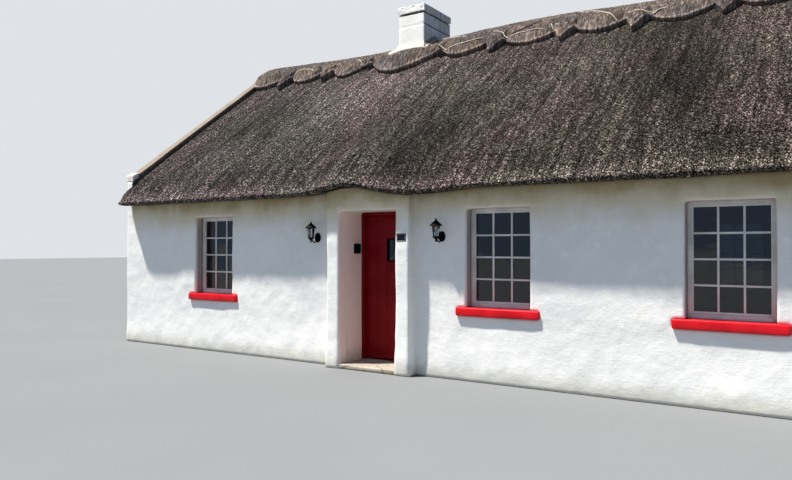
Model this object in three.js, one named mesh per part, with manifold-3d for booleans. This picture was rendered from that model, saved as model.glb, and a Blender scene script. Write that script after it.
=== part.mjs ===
// A thatched cottage in millimetres: X along the front wall, Y into the house, Z up.
// The origin is on the ground under the middle of the house. The front wall faces -Y.
import * as THREE from "three";
import { mergeVertices } from "three/addons/utils/BufferGeometryUtils.js";
import Module from "manifold-3d";

const wasm = await Module();
wasm.setup();

// Driving dimensions
const GAP = 0.3; // left between pieces that touch on a slope
const HALF_LENGTH = 5815; // to the gables' outer faces
const HALF_DEPTH = 3365; // to the outer faces of the long walls
const WALL = 550;
const FLOOR_TOP = 60;
const HIGH = 6500; // above everything, for cutters
const OVER = 1; // how far a cutter reaches beyond what it cuts
const CURVE_POINTS = 4;
const ROUND = 12; // sides of small round parts

// Roof
const PITCH = 0.737; // rise over run, a pitch of 36 degrees
const THATCH_APEX = 5175;
const UNDER_APEX = 4800;
const THATCH_HUMP = 30; // how far the thatch swells at mid length
const SWELLS = [
  // the thatch's soft waves along the roof, which lean as they run down the slope
  { tall: 13, long: 3100, lean: 0.2, turn: 0.6 },
  { tall: 12, long: 1430, lean: -0.15, turn: 2.1 },
  { tall: 9, long: 930, lean: 0.25, turn: 4 },
];
const SWELL_FROM_Y = 1000; // they are full from here
const SWELL_CALM = { y: 2900, share: 0.6 }; // and calm down from here to the eave
const SLOPE_Y = [500, 1000, 1700]; // more points of the slope's section
const SLOPE_STEPS = 44;
const EAVE_TOP_Y = 3250; // where the slope starts to round over
const EAVE_CURVE_Y = 3405;
const EAVE_OUT_Y = 3695;
const EAVE_OUT_Z = 2350;
const EAVE_LOW_Y = 3610;
const EAVE_LOW_Z = 2286;
const LIFT_START_Y = 2600; // the eave's lift over the porch fades out here
const PORCH_LIFT = { tall: 105, x: -920, half: 430 };
const PORCH_DIP = { tall: 40, x: 250, half: 450 };

// Ridge roll, and the ornament of its edge in plan
const CREST = 5330;
const CREST_WAVE = { tall: 50, x: 200, long: 6200, across: 600 }; // the crest rises and sags
const CREST_END = { drop: 75, long: 420 }; // it drops to the copings at both ends
const ROLL_FALL = [[100, 25], [220, 95], [350, 200], [470, 310], [580, 430], [680, 560]];
const ROLL_EDGE = 900;
const ROLL_BED = 100; // how deep its underside lies before the thatch is cut from it
const ROLL_BANK = { tall: 110, half: 520, y: 350 }; // built up round the chimney
const PILLOW = { tall: 30, tongue: 40, y0: 120, y1: 450 }; // the swelling of each scallop and tongue
const LIP = 50; // how thick the roll is at its very edge
const BELLY = { scallop: 160, tongue: 60 }; // how far back from there it starts to round down
const SCALLOPS = [
  // how far each scallop reaches down the slope, and the tongue at its right end
  { reach: 540, tongue: -4840, half: 170, tip: 680 },
  { reach: 580, tongue: -3760, half: 170, tip: 650 },
  { reach: 640, tongue: -2790, half: 80, tip: 520 },
  { reach: 750, tongue: -1310, half: 70, tip: 500 },
  { reach: 550, tongue: -250, half: 180, tip: 680 },
  { reach: 580, tongue: 930, half: 180, tip: 680 },
  { reach: 570, tongue: 2020, half: 180, tip: 680 },
  { reach: 590, tongue: 3220, half: 180, tip: 680 },
  { reach: 570, tongue: 4380, half: 180, tip: 680 },
  { reach: 540, tongue: HALF_LENGTH },
];
const NOTCH_Y = 400;
const CORNER_SHARE = 5;
const EDGE_POINTS = 3; // straight pieces in each half of a scallop's curve
const ROLL_END_Y = 380;

// Gable copings
const PARAPET = 155;
const COPING_APEX = 5272;
const COPING_THICK = 70;
const COPING_PROUD = 30; // beyond the gable's outer face
const COPING_LIP = 8; // over the thatch
const COPING_END_Y = 330;
const KNEELER = { deep: 120, foot: 48, head: 24 };

// Door and porch
const DOOR_LEFT = -1080;
const DOOR_RIGHT = -170;
const DOOR_HEAD = 2090;
const PORCH_LEFT = -1279;
const PORCH_RIGHT = 28;
const PORCH_OUT = 163;
const LEAF = { x0: -1045, x1: -208, y0: -2945, y1: -2900, z0: 70, z1: 2052 };
const LIGHT = { x0: -685, x1: -555, z0: 1415, z1: 1725 };
const HINGE = { x: -1047.5, y: -2891.5, r: 8, clear: 13, room: 5, tall: 40, at: [250, 1790] };
const FLAP = { long: 50, deep: 3, inset: 2 };
const HANDLE = { edge: 70, z: 1050, halfWide: 22, halfTall: 90, thick: 6, up: 30 };
const KNOB = { r: 24, out: 52, neck: 9, neckLong: 44, neckOut: 26 };
const FRAME_Y0 = -3000;
const FRAME_Y1 = -2903;
const JAMB = 30;
const STOP = 12;
const STOP_Y1 = -2950;

// Windows: side is -1 on the front wall and 1 on the back wall
const WINDOW_FOOT = 880;
const WINDOW_HEAD = 2080;
const WINDOW_SET_BACK = 150;
const WINDOW_DEEP = 70;
const WINDOW_RIM = 50;
const GLASS = 6;
const SILL = { thick: 100, horn: 120, proud: 40 };
const WINDOWS = [
  { name: "front_left", x0: -4075, width: 820, side: -1 },
  { name: "front_middle", x0: 737, width: 820, side: -1 },
  { name: "front_right", x0: 3219, width: 820, side: -1 },
  { name: "back_left", x0: -4040, width: 820, side: 1 },
  { name: "back_right", x0: 2560, width: 820, side: 1 },
];

// Chimney
const STACK = { x0: -2133, x1: -1599, y0: -420, y1: 530, foot: 3000, top: 5758 };
const FLUE_WALL = 150;
const FLUE_FOOT = 500; // the flue starts this far above the stack's foot
const CAP_TALL = 140;
const CAP_PROUD = 12;
const BREAST_GROW = { x: 110, y: 270 };
const APRON = {
  top: 5400,
  tall: 400,
  thick: 40,
  spread: { left: 900, right: 360, across: 110 }, // how far its faces slope out over its height
  reach: { left: 215, right: 100, across: 75 }, // where its edge is cut
};

// Roof trusses
const TRUSS_X = [-3700, -700, 1500, 3700];
const TRUSS_THICK = 75;
const RAFTER_TALL = 150;
const LEDGE_Z = 2500;
const LEDGE = 220;
const COLLAR_Z = 3500;
const COLLAR_TALL = 120;
const COLLAR_SPLAY = 60;
const TRUSS_CLEAR = 5; // between a rafter's foot and the back of the ledge

// Fittings
const LANTERN_X = { left: -1561, right: 413 };
const LANTERN = { z: 1740, out: 150, plate: 62, plateFoot: 66, plateThick: 18, armHalf: 9, armZ: [-52, -30] };
const LANTERN_TURNS = [
  // top and foot radius, height, sides, and how far the foot is above the plate's middle
  [14, 6, 40, 8, -70],
  [42, 22, 30, 6, -32],
  [62, 42, 142, 6, -4],
  [26, 80, 46, 6, 136],
  [6, 16, 46, 8, 180],
];
const NUMBER_PLATE = { x0: -149, x1: -10, z0: 1683, z1: 1782, thick: 8 };
const KEY_BOX = { out: 40, y0: -3180, y1: -3060, z0: 1520, z1: 1655 };

const COLOURS = {
  limewash: [0xe9e9e6, 0.9, 0],
  thatch: [0x6b6259, 1, 0],
  ridge: [0x7d7062, 1, 0],
  sill_red: [0xc01826, 0.45, 0],
  door_red: [0x8e1018, 0.4, 0],
  window_paint: [0xe8e6df, 0.5, 0],
  glass: [0x3a4450, 0.08, 0],
  black_metal: [0x15171a, 0.45, 0.6],
  slate_plate: [0x1b2233, 0.4, 0],
  coping: [0xd9d2c3, 0.9, 0],
  stone: [0xa99a86, 0.95, 0],
  timber: [0x6e5236, 0.85, 0],
};

const { clamp, smoothstep } = THREE.MathUtils;
const cottage = new THREE.Group();

function add(name, colour, solid) {
  const [hex, roughness, metalness] = COLOURS[colour];
  const material = new THREE.MeshStandardMaterial({ color: hex, roughness, metalness });
  const mesh = new THREE.Mesh(toGeometry(solid), material);
  mesh.name = name;
  cottage.add(mesh);
}

// A closed three.js geometry as a solid that can be cut and joined.
function toSolid(geometry) {
  const bare = geometry.clone();
  bare.deleteAttribute("normal");
  bare.deleteAttribute("uv");
  const merged = mergeVertices(bare, 1e-3);
  return new wasm.Manifold(
    new wasm.Mesh({
      numProp: 3,
      vertProperties: new Float32Array(merged.attributes.position.array),
      triVerts: new Uint32Array(merged.index.array),
    }),
  );
}

function toGeometry(solid) {
  const mesh = solid.getMesh();
  const geometry = new THREE.BufferGeometry();
  geometry.setAttribute("position", new THREE.BufferAttribute(mesh.vertProperties, mesh.numProp));
  geometry.setIndex(new THREE.BufferAttribute(mesh.triVerts, 1));
  geometry.computeVertexNormals();
  return geometry;
}

function box(x0, x1, y0, y1, z0, z1) {
  const geometry = new THREE.BoxGeometry(x1 - x0, y1 - y0, z1 - z0);
  return toSolid(geometry.translate((x0 + x1) / 2, (y0 + y1) / 2, (z0 + z1) / 2));
}

function outline(points) {
  return new THREE.Shape(points.map(([a, b]) => new THREE.Vector2(a, b)));
}

// A shape drawn in Y and Z, extruded along X through the given stations, and bent by shift(x, y, z).
function alongX(shape, stations, shift = () => 0) {
  const steps = stations.length - 1;
  const options = { depth: steps, steps, bevelEnabled: false, curveSegments: CURVE_POINTS };
  const geometry = new THREE.ExtrudeGeometry(shape, options);
  geometry.applyMatrix4(new THREE.Matrix4().set(0, 0, 1, 0, 1, 0, 0, 0, 0, 1, 0, 0, 0, 0, 0, 1));
  const at = geometry.attributes.position;
  for (let i = 0; i < at.count; i++) {
    const x = stations[Math.round(at.getX(i))];
    at.setX(i, x);
    at.setZ(i, at.getZ(i) + shift(x, at.getY(i), at.getZ(i)));
  }
  return toSolid(geometry);
}

// A shape drawn in X and Z, extruded along Y from y0 to y1.
function alongY(shape, y0, y1) {
  const geometry = new THREE.ExtrudeGeometry(shape, { depth: y1 - y0, bevelEnabled: false });
  geometry.applyMatrix4(new THREE.Matrix4().set(1, 0, 0, 0, 0, 0, -1, y1, 0, 1, 0, 0, 0, 0, 0, 1));
  return toSolid(geometry);
}

function cylinder(radiusTop, radiusFoot, tall, sides, x, y, z0) {
  const geometry = new THREE.CylinderGeometry(radiusTop, radiusFoot, tall, sides);
  return toSolid(geometry.rotateX(Math.PI / 2).translate(x, y, z0 + tall / 2));
}

// Of the bodies that a cut leaves, the one that reaches lowest or highest.
function lowest(solid) {
  return solid.decompose().sort((a, b) => a.boundingBox().min[2] - b.boundingBox().min[2])[0];
}

function highest(solid) {
  return solid.decompose().sort((a, b) => b.boundingBox().max[2] - a.boundingBox().max[2])[0];
}

// How much the thatch swells towards mid length, fading to nothing at the eave.
function hump(x, y) {
  const along = 1 - (x / HALF_LENGTH) ** 2;
  return THATCH_HUMP * along * Math.max(0, 1 - Math.abs(y) / EAVE_TOP_Y);
}

// The soft waves along the thatch, from nothing at the ridge to a calmer share at the eave.
function swell(x, y) {
  const reach = Math.abs(y);
  let sum = 0;
  for (const { tall, long, lean, turn } of SWELLS) {
    sum += tall * Math.sin((2 * Math.PI * (x + lean * reach)) / long + turn);
  }
  const start = Math.min(1, reach / SWELL_FROM_Y);
  const calm = clamp((reach - SWELL_CALM.y) / (EAVE_LOW_Y - SWELL_CALM.y), 0, 1);
  return sum * start * (1 - SWELL_CALM.share * calm);
}

// The eave sweeps up over the porch and dips a little to its right.
function porchLift(x) {
  const hill = ({ tall, x: middle, half }) => tall * Math.exp(-(((x - middle) / half) ** 2));
  return hill(PORCH_LIFT) - hill(PORCH_DIP);
}

function eaveShare(y) {
  return clamp((Math.abs(y) - LIFT_START_Y) / (EAVE_TOP_Y - LIFT_START_Y), 0, 1);
}

function topOf(y) {
  return THATCH_APEX - PITCH * Math.abs(y);
}

function underOf(y) {
  return UNDER_APEX - PITCH * Math.abs(y);
}

// Cross-section of one slope of thatch, with its rounded eave. side is -1 at the front.
function slopeShape(side) {
  const shape = new THREE.Shape();
  shape.moveTo(0, THATCH_APEX);
  for (const y of [...SLOPE_Y, LIFT_START_Y]) {
    shape.lineTo(side * y, topOf(y));
  }
  shape.lineTo(side * EAVE_TOP_Y, topOf(EAVE_TOP_Y));
  shape.quadraticCurveTo(side * EAVE_CURVE_Y, topOf(EAVE_CURVE_Y), side * EAVE_OUT_Y, EAVE_OUT_Z);
  shape.quadraticCurveTo(side * EAVE_OUT_Y, EAVE_LOW_Z, side * EAVE_LOW_Y, EAVE_LOW_Z);
  shape.lineTo(side * HALF_DEPTH, underOf(HALF_DEPTH));
  shape.lineTo(side * LIFT_START_Y, underOf(LIFT_START_Y));
  shape.lineTo(0, UNDER_APEX);
  return shape;
}

function slope(side) {
  const lift = side < 0 ? porchLift : () => 0;
  const shift = (x, y, z) => {
    const top = z > underOf(y) + OVER ? hump(x, y) + swell(x, y) : 0;
    return top + lift(x) * eaveShare(y);
  };
  const step = (2 * HALF_LENGTH) / SLOPE_STEPS;
  const stations = Array.from({ length: SLOPE_STEPS + 1 }, (_, i) => i * step - HALF_LENGTH);
  return alongX(slopeShape(side), stations, shift);
}

// The ridge roll's edge in plan: round scallops of differing reach with a pointed tongue between them.
function rollEdge() {
  const points = [[-HALF_LENGTH, ROLL_END_Y]];
  for (const { reach, tongue, half = 0, tip } of SCALLOPS) {
    const [from, start] = points.at(-1);
    const to = tongue - half;
    const corner = (to - from) / CORNER_SHARE;
    const scallop = new THREE.Path();
    scallop.moveTo(from, start);
    scallop.quadraticCurveTo(from + corner, reach, (from + to) / 2, reach);
    scallop.quadraticCurveTo(to - corner, reach, to, half ? NOTCH_Y : ROLL_END_Y);
    points.push(...scallop.getPoints(EDGE_POINTS).slice(1).map(({ x, y }) => [x, y]));
    if (half) {
      points.push([tongue, tip], [tongue + half, NOTCH_Y]);
    }
  }
  return points;
}

const EDGE = rollEdge();

// How far the roll reaches down the slope at x.
function edgeAt(x) {
  const i = clamp(EDGE.findIndex(([ex]) => ex >= x), 1, EDGE.length - 1);
  const [[x0, y0], [x1, y1]] = [EDGE[i - 1], EDGE[i]];
  return y0 + ((y1 - y0) * (x - x0)) / (x1 - x0);
}

// Each scallop swells in its middle, and each tongue along its own.
function pillow(x) {
  let from = -HALF_LENGTH;
  for (const { tongue, half = 0 } of SCALLOPS) {
    const to = tongue - half;
    if (x > from && x < to) {
      return PILLOW.tall * (1 - ((2 * (x - from)) / (to - from) - 1) ** 4);
    }
    if (half && Math.abs(x - tongue) < half) {
      return PILLOW.tongue * (1 - Math.abs(x - tongue) / half);
    }
    from = tongue + half;
  }
  return 0;
}

// How far the ridge roll's plain section is moved up at x and y: a wave along its crest, a bank round
// the chimney, a drop at both ends, the scallops' swelling, and their bellies down to a thin lip.
function rollLift(x, y, z) {
  if (z < topOf(y)) {
    return 0;
  }
  const reach = Math.abs(y);
  const near = Math.max(0, 1 - reach / CREST_WAVE.across);
  const wave = near * CREST_WAVE.tall * Math.cos((2 * Math.PI * (x - CREST_WAVE.x)) / CREST_WAVE.long);
  const end = Math.max(0, (Math.abs(x) - HALF_LENGTH + CREST_END.long) / CREST_END.long);
  const away = (x - (STACK.x0 + STACK.x1) / 2) / ROLL_BANK.half;
  const bank = ROLL_BANK.tall * Math.exp(-(away ** 2)) * Math.min(1, reach / ROLL_BANK.y);
  const bulge = pillow(x) * smoothstep(reach, PILLOW.y0, PILLOW.y1);
  const full = z + wave + bank + bulge - CREST_END.drop * end ** 2;
  const lip = topOf(y) + hump(x, y) + swell(x, y) + LIP;
  const inTongue = SCALLOPS.some(({ tongue, half = 0 }) => Math.abs(x - tongue) < half);
  const belly = inTongue ? BELLY.tongue : BELLY.scallop;
  const down = clamp((reach - edgeAt(x) + belly) / belly, 0, 1);
  return lip + (full - lip) * (1 - down ** 2) - z;
}

// The thick ridge roll before its edges are cut to their outline.
function ridgeRoll() {
  const right = ROLL_FALL.map(([y, fall]) => [y, CREST - fall]);
  const left = ROLL_FALL.map(([y, fall]) => [-y, CREST - fall]).reverse();
  const foot = topOf(ROLL_EDGE) - ROLL_BED;
  const under = [[ROLL_EDGE, foot], [0, THATCH_APEX - ROLL_BED], [-ROLL_EDGE, foot]];
  const section = outline([...left, [0, CREST], ...right, ...under]);
  return alongX(section, EDGE.map(([x]) => x), rollLift);
}

// One side of the roll's plan as a tall prism.
function edgePrism(side) {
  const shape = outline([[-HALF_LENGTH, 0], ...EDGE.map(([x, y]) => [x, side * y]), [HALF_LENGTH, 0]]);
  return toSolid(new THREE.ExtrudeGeometry(shape, { depth: HIGH, bevelEnabled: false }));
}

const slopes = { front: slope(-1), back: slope(1) };
const thatch = slopes.front.add(slopes.back);
const underThatch = thatch.translate([0, 0, -GAP]);
const overThatch = thatch.translate([0, 0, GAP]);

const stackHole = box(STACK.x0 - GAP, STACK.x1 + GAP, STACK.y0 - GAP, STACK.y1 + GAP, 0, HIGH);

// A raised strip of gable wall, and the coping on it with its kneeler block. side is -1 at the left.
function parapet(side, grow = 0) {
  const low = -grow;
  const high = HALF_DEPTH + grow;
  const under = COPING_APEX - COPING_THICK + grow;
  const end = COPING_END_Y - grow;
  const crest = THATCH_APEX - GAP + grow;
  const shape = outline([
    [-high, low],
    [high, low],
    [high, under - PITCH * high],
    [end, under - PITCH * end],
    [end, crest - PITCH * end],
    [0, crest],
    [-end, crest - PITCH * end],
    [-end, under - PITCH * end],
    [-high, under - PITCH * high],
  ]);
  const [x0, x1] = [side * (HALF_LENGTH - PARAPET - grow), side * (HALF_LENGTH + grow)];
  return alongX(shape, [Math.min(x0, x1), Math.max(x0, x1)]);
}

function coping(side, face, grow = 0) {
  const top = COPING_APEX + grow;
  const under = COPING_APEX - COPING_THICK + GAP - grow;
  const foot = HALF_DEPTH + grow;
  const knee = HALF_DEPTH - KNEELER.deep - grow;
  const end = COPING_END_Y - grow;
  const shape = outline([
    [face * foot, under - PITCH * foot],
    [face * foot, top - PITCH * foot + KNEELER.foot],
    [face * knee, top - PITCH * knee + KNEELER.head],
    [face * knee, top - PITCH * knee],
    [face * end, top - PITCH * end],
    [face * end, under - PITCH * end],
  ]);
  const inner = side * (HALF_LENGTH - PARAPET - COPING_LIP - grow);
  const outer = side * (HALF_LENGTH + COPING_PROUD + grow);
  return alongX(shape, [Math.min(inner, outer), Math.max(inner, outer)]);
}

function addGable(name, side) {
  const inner = side * (HALF_LENGTH - WALL);
  const middle = side * (HALF_LENGTH - PARAPET);
  const [x0, x1] = [Math.min(inner, middle), Math.max(inner, middle)];
  const wall = lowest(box(x0, x1, -HALF_DEPTH, HALF_DEPTH, 0, HIGH).subtract(underThatch));
  add("gable_wall_" + name, "limewash", wall.add(parapet(side)));
  add("coping_" + name + "_front", "coping", coping(side, -1));
  add("coping_" + name + "_back", "coping", coping(side, 1));
}

// The space that both gables' parapets and copings take out of the thatch.
function gableCutter() {
  const parts = [-1, 1].flatMap((side) => [
    parapet(side, GAP),
    coping(side, -1, GAP),
    coping(side, 1, GAP),
  ]);
  return parts.reduce((a, b) => a.add(b));
}

function windowHole(w) {
  const x1 = w.x0 + w.width;
  const face = w.side * HALF_DEPTH;
  const inner = w.side * (HALF_DEPTH - WALL);
  const [y0, y1] = [Math.min(face, inner) - OVER, Math.max(face, inner) + OVER];
  return box(w.x0, x1, y0, y1, WINDOW_FOOT, WINDOW_HEAD).add(sill(w));
}

function sill(w) {
  const outer = w.side * (HALF_DEPTH + SILL.proud);
  const inner = w.side * (HALF_DEPTH - WINDOW_SET_BACK - WINDOW_DEEP);
  const [y0, y1] = [Math.min(outer, inner), Math.max(outer, inner)];
  const x1 = w.x0 + w.width;
  return box(w.x0 - SILL.horn, x1 + SILL.horn, y0, y1, WINDOW_FOOT - SILL.thick, WINDOW_FOOT);
}

// A stretch of long wall, cut by its windows and topped off under the thatch, with a ledge for the trusses.
function longWall(side, x0, x1, z0 = 0) {
  const outer = side * HALF_DEPTH;
  const inner = side * (HALF_DEPTH - WALL);
  let wall = box(x0, x1, Math.min(outer, inner), Math.max(outer, inner), z0, HIGH);
  wall = lowest(wall.subtract(underThatch));
  const ledge = side * (HALF_DEPTH - WALL + LEDGE);
  const [y0, y1] = [Math.min(ledge, 0), Math.max(ledge, 0)];
  wall = wall.subtract(box(x0 - OVER, x1 + OVER, y0, y1, LEDGE_Z, HIGH));
  for (const w of WINDOWS.filter((each) => each.side === side)) {
    wall = wall.subtract(windowHole(w));
  }
  return wall;
}

function addWalls() {
  const end = HALF_LENGTH - WALL;
  add("front_wall_left", "limewash", longWall(-1, -end, DOOR_LEFT));
  add("front_wall_right", "limewash", longWall(-1, DOOR_RIGHT, end));
  add("front_wall_over_door", "limewash", longWall(-1, DOOR_LEFT, DOOR_RIGHT, DOOR_HEAD));
  add("back_wall", "limewash", longWall(1, -end, end));
  addGable("left", -1);
  addGable("right", 1);
}

function addPorch() {
  const y0 = -HALF_DEPTH - PORCH_OUT;
  const pier = (x0, x1, z0) => lowest(box(x0, x1, y0, -HALF_DEPTH, z0, HIGH).subtract(underThatch));
  add("porch_pier_left", "limewash", pier(PORCH_LEFT, DOOR_LEFT, 0));
  add("porch_pier_right", "limewash", pier(DOOR_RIGHT, PORCH_RIGHT, 0));
  add("porch_head", "limewash", pier(DOOR_LEFT, DOOR_RIGHT, DOOR_HEAD));
  add("door_step", "stone", box(DOOR_LEFT, DOOR_RIGHT, y0, -HALF_DEPTH + WALL, 0, FLOOR_TOP));
}

function addFloor() {
  const x = HALF_LENGTH - WALL;
  const y = HALF_DEPTH - WALL;
  add("floor_slab", "stone", box(-x, x, -y, y, 0, FLOOR_TOP));
}

function knuckle(z0) {
  return cylinder(HINGE.r, HINGE.r, HINGE.tall, ROUND, HINGE.x, HINGE.y, z0);
}

function addDoor() {
  const jambs = [
    box(DOOR_LEFT, DOOR_LEFT + JAMB, FRAME_Y0, FRAME_Y1, FLOOR_TOP, DOOR_HEAD),
    box(DOOR_RIGHT - JAMB, DOOR_RIGHT, FRAME_Y0, FRAME_Y1, FLOOR_TOP, DOOR_HEAD),
    box(DOOR_LEFT, DOOR_RIGHT, FRAME_Y0, FRAME_Y1, DOOR_HEAD - JAMB, DOOR_HEAD),
  ];
  const rebate = JAMB + STOP;
  const stops = [
    box(DOOR_LEFT, DOOR_LEFT + rebate, FRAME_Y0, STOP_Y1, FLOOR_TOP, DOOR_HEAD),
    box(DOOR_RIGHT - rebate, DOOR_RIGHT, FRAME_Y0, STOP_Y1, FLOOR_TOP, DOOR_HEAD),
    box(DOOR_LEFT, DOOR_RIGHT, FRAME_Y0, STOP_Y1, DOOR_HEAD - rebate, DOOR_HEAD),
  ];
  let frame = [...jambs, ...stops].reduce((a, b) => a.add(b));
  let leaf = box(LEAF.x0, LEAF.x1, LEAF.y0, LEAF.y1, LEAF.z0, LEAF.z1);
  leaf = leaf.subtract(box(LIGHT.x0, LIGHT.x1, LEAF.y0 - OVER, LEAF.y1 + OVER, LIGHT.z0, LIGHT.z1));
  const { x, y, clear, room, tall } = HINGE;
  for (const z of HINGE.at) {
    const upper = z + tall + GAP;
    const frameFlap = box(DOOR_LEFT + FLAP.inset, x, FRAME_Y1 - FLAP.deep, y, z, z + tall);
    const leafFlap = box(x, x + FLAP.long, LEAF.y1 - FLAP.deep, y, upper, upper + tall);
    const notch = cylinder(clear, clear, tall + room, ROUND, x, y, z - room);
    frame = frame.add(frameFlap).add(knuckle(z));
    leaf = leaf.subtract(notch).add(leafFlap).add(knuckle(upper));
  }
  add("door_frame", "door_red", frame);
  add("door_leaf", "door_red", leaf);
  const middle = (LEAF.y0 + LEAF.y1) / 2;
  const [x0, x1] = [LIGHT.x0 + GAP, LIGHT.x1 - GAP];
  const [z0, z1] = [LIGHT.z0 + GAP, LIGHT.z1 - GAP];
  add("door_light", "glass", box(x0, x1, middle - GLASS / 2, middle + GLASS / 2, z0, z1));
  addHandle("door_handle_outside", LEAF.y0, -1);
  addHandle("door_handle_inside", LEAF.y1, 1);
}

// A plate with a round knob on one face of the leaf.
function addHandle(name, face, out) {
  const { z, halfWide, halfTall } = HANDLE;
  const x = LEAF.x1 - HANDLE.edge;
  const [a, b] = [face, face + out * HANDLE.thick];
  const plate = box(x - halfWide, x + halfWide, Math.min(a, b), Math.max(a, b), z - halfTall, z + halfTall);
  const neck = new THREE.CylinderGeometry(KNOB.neck, KNOB.neck, KNOB.neckLong, ROUND);
  const knob = new THREE.SphereGeometry(KNOB.r, ROUND, ROUND);
  neck.translate(x, face + out * KNOB.neckOut, z + HANDLE.up);
  knob.translate(x, face + out * KNOB.out, z + HANDLE.up);
  add(name, "black_metal", plate.add(toSolid(neck)).add(toSolid(knob)));
}

function addWindow(w) {
  const x1 = w.x0 + w.width;
  const outer = w.side * (HALF_DEPTH - WINDOW_SET_BACK);
  const inner = outer - w.side * WINDOW_DEEP;
  const [y0, y1] = [Math.min(outer, inner), Math.max(outer, inner)];
  const rim = outline([[w.x0, WINDOW_FOOT], [x1, WINDOW_FOOT], [x1, WINDOW_HEAD], [w.x0, WINDOW_HEAD]]);
  const [gx0, gx1] = [w.x0 + WINDOW_RIM, x1 - WINDOW_RIM];
  const [gz0, gz1] = [WINDOW_FOOT + WINDOW_RIM, WINDOW_HEAD - WINDOW_RIM];
  rim.holes.push(outline([[gx0, gz0], [gx0, gz1], [gx1, gz1], [gx1, gz0]]));
  const middle = (y0 + y1) / 2;
  const [my0, my1] = [middle - GLASS / 2, middle + GLASS / 2];
  add("window_" + w.name + "_frame", "window_paint", alongY(rim, y0, y1));
  add("window_" + w.name + "_glass", "glass", box(gx0 + GAP, gx1 - GAP, my0, my1, gz0 + GAP, gz1 - GAP));
  add("window_" + w.name + "_sill", "sill_red", sill(w));
}

function addThatch() {
  const cutter = gableCutter().add(stackHole);
  add("thatch_front", "thatch", slopes.front.subtract(cutter));
  add("thatch_back", "thatch", slopes.back.subtract(cutter));
  const edges = edgePrism(-1).add(edgePrism(1));
  const roll = highest(ridgeRoll().intersect(edges).subtract(overThatch));
  add("thatch_ridge", "ridge", roll.subtract(cutter));
  return roll;
}

function addChimney(roll) {
  const { x0, x1, y0, y1, foot, top } = STACK;
  const grow = BREAST_GROW;
  const breast = box(x0 - grow.x, x1 + grow.x, y0 - grow.y, y1 + grow.y, FLOOR_TOP, foot);
  add("chimney_breast", "limewash", breast);
  const flueFoot = foot + FLUE_FOOT;
  const flue = box(x0 + FLUE_WALL, x1 - FLUE_WALL, y0 + FLUE_WALL, y1 - FLUE_WALL, flueFoot, HIGH);
  add("chimney_stack", "limewash", box(x0, x1, y0, y1, foot, top).subtract(flue));
  const p = CAP_PROUD;
  const cap = box(x0 - p, x1 + p, y0 - p, y1 + p, top, top + CAP_TALL);
  add("chimney_cap", "limewash", cap.subtract(flue));
  add("chimney_apron", "limewash", apron(roll));
}

// A cement flare round the foot of the stack, sloping from it down to the ridge roll.
function apron(roll) {
  const { x0, x1, y0, y1 } = STACK;
  const { top, tall, spread, reach, thick } = APRON;
  const flare = new THREE.BoxGeometry(1, 1, tall);
  const at = flare.attributes.position;
  for (let i = 0; i < at.count; i++) {
    const grow = at.getZ(i) < 0 ? spread : { left: 0, right: 0, across: 0 };
    at.setX(i, at.getX(i) > 0 ? x1 + grow.right : x0 - grow.left);
    at.setY(i, at.getY(i) > 0 ? y1 + grow.across : y0 - grow.across);
  }
  flare.translate(0, 0, top - tall / 2);
  const edge = box(x0 - reach.left, x1 + reach.right, y0 - reach.across, y1 + reach.across, 0, HIGH);
  const around = toSolid(flare).intersect(edge).intersect(ridgeRoll().translate([0, 0, thick]));
  const moves = [[0, 0, GAP], [GAP, 0, 0], [-GAP, 0, 0], [0, GAP, 0], [0, -GAP, 0]];
  const ground = moves.reduce((all, move) => all.add(roll.translate(move)), roll.add(overThatch));
  return highest(around.subtract(ground).subtract(stackHole));
}

// An A-frame: two rafters under the thatch and a collar between them.
function addTruss(number, x) {
  const foot = HALF_DEPTH - WALL + LEDGE - TRUSS_CLEAR;
  const rafter = (side) =>
    outline([
      [0, UNDER_APEX - 2 * GAP],
      [side * foot, underOf(foot) - 2 * GAP],
      [side * foot, LEDGE_Z],
      [(side * (UNDER_APEX - GAP - RAFTER_TALL - LEDGE_Z)) / PITCH, LEDGE_Z],
      [0, UNDER_APEX - GAP - RAFTER_TALL],
    ]);
  const reach = (UNDER_APEX - RAFTER_TALL - COLLAR_Z) / PITCH;
  const collar = outline([
    [-reach, COLLAR_Z],
    [reach, COLLAR_Z],
    [reach - COLLAR_SPLAY, COLLAR_Z + COLLAR_TALL],
    [COLLAR_SPLAY - reach, COLLAR_Z + COLLAR_TALL],
  ]);
  const [x0, x1] = [x - TRUSS_THICK / 2, x + TRUSS_THICK / 2];
  const parts = [rafter(-1), rafter(1), collar].map((shape) => alongX(shape, [x0, x1]));
  add("roof_truss_" + number, "timber", parts.reduce((a, b) => a.add(b)));
}

// A coach lantern on a wall bracket; its round back plate is against the wall.
function addLantern(name, x) {
  const face = -HALF_DEPTH;
  const { z, out, plateThick, armHalf, armZ } = LANTERN;
  const plate = new THREE.CylinderGeometry(LANTERN.plate, LANTERN.plateFoot, plateThick, ROUND);
  plate.translate(x, face - plateThick / 2, z);
  const arm = box(x - armHalf, x + armHalf, face - out, face, z + armZ[0], z + armZ[1]);
  const turns = LANTERN_TURNS.map(([top, foot, tall, sides, up]) =>
    cylinder(top, foot, tall, sides, x, face - out, z + up),
  );
  add(name, "black_metal", turns.reduce((a, b) => a.add(b), toSolid(plate).add(arm)));
}

function addFittings() {
  addLantern("lantern_left", LANTERN_X.left);
  addLantern("lantern_right", LANTERN_X.right);
  const face = -HALF_DEPTH - PORCH_OUT;
  const plate = NUMBER_PLATE;
  add("number_plate", "slate_plate", box(plate.x0, plate.x1, face - plate.thick, face, plate.z0, plate.z1));
  const { out, y0, y1, z0, z1 } = KEY_BOX;
  add("key_box", "black_metal", box(DOOR_LEFT, DOOR_LEFT + out, y0, y1, z0, z1));
}

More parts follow.
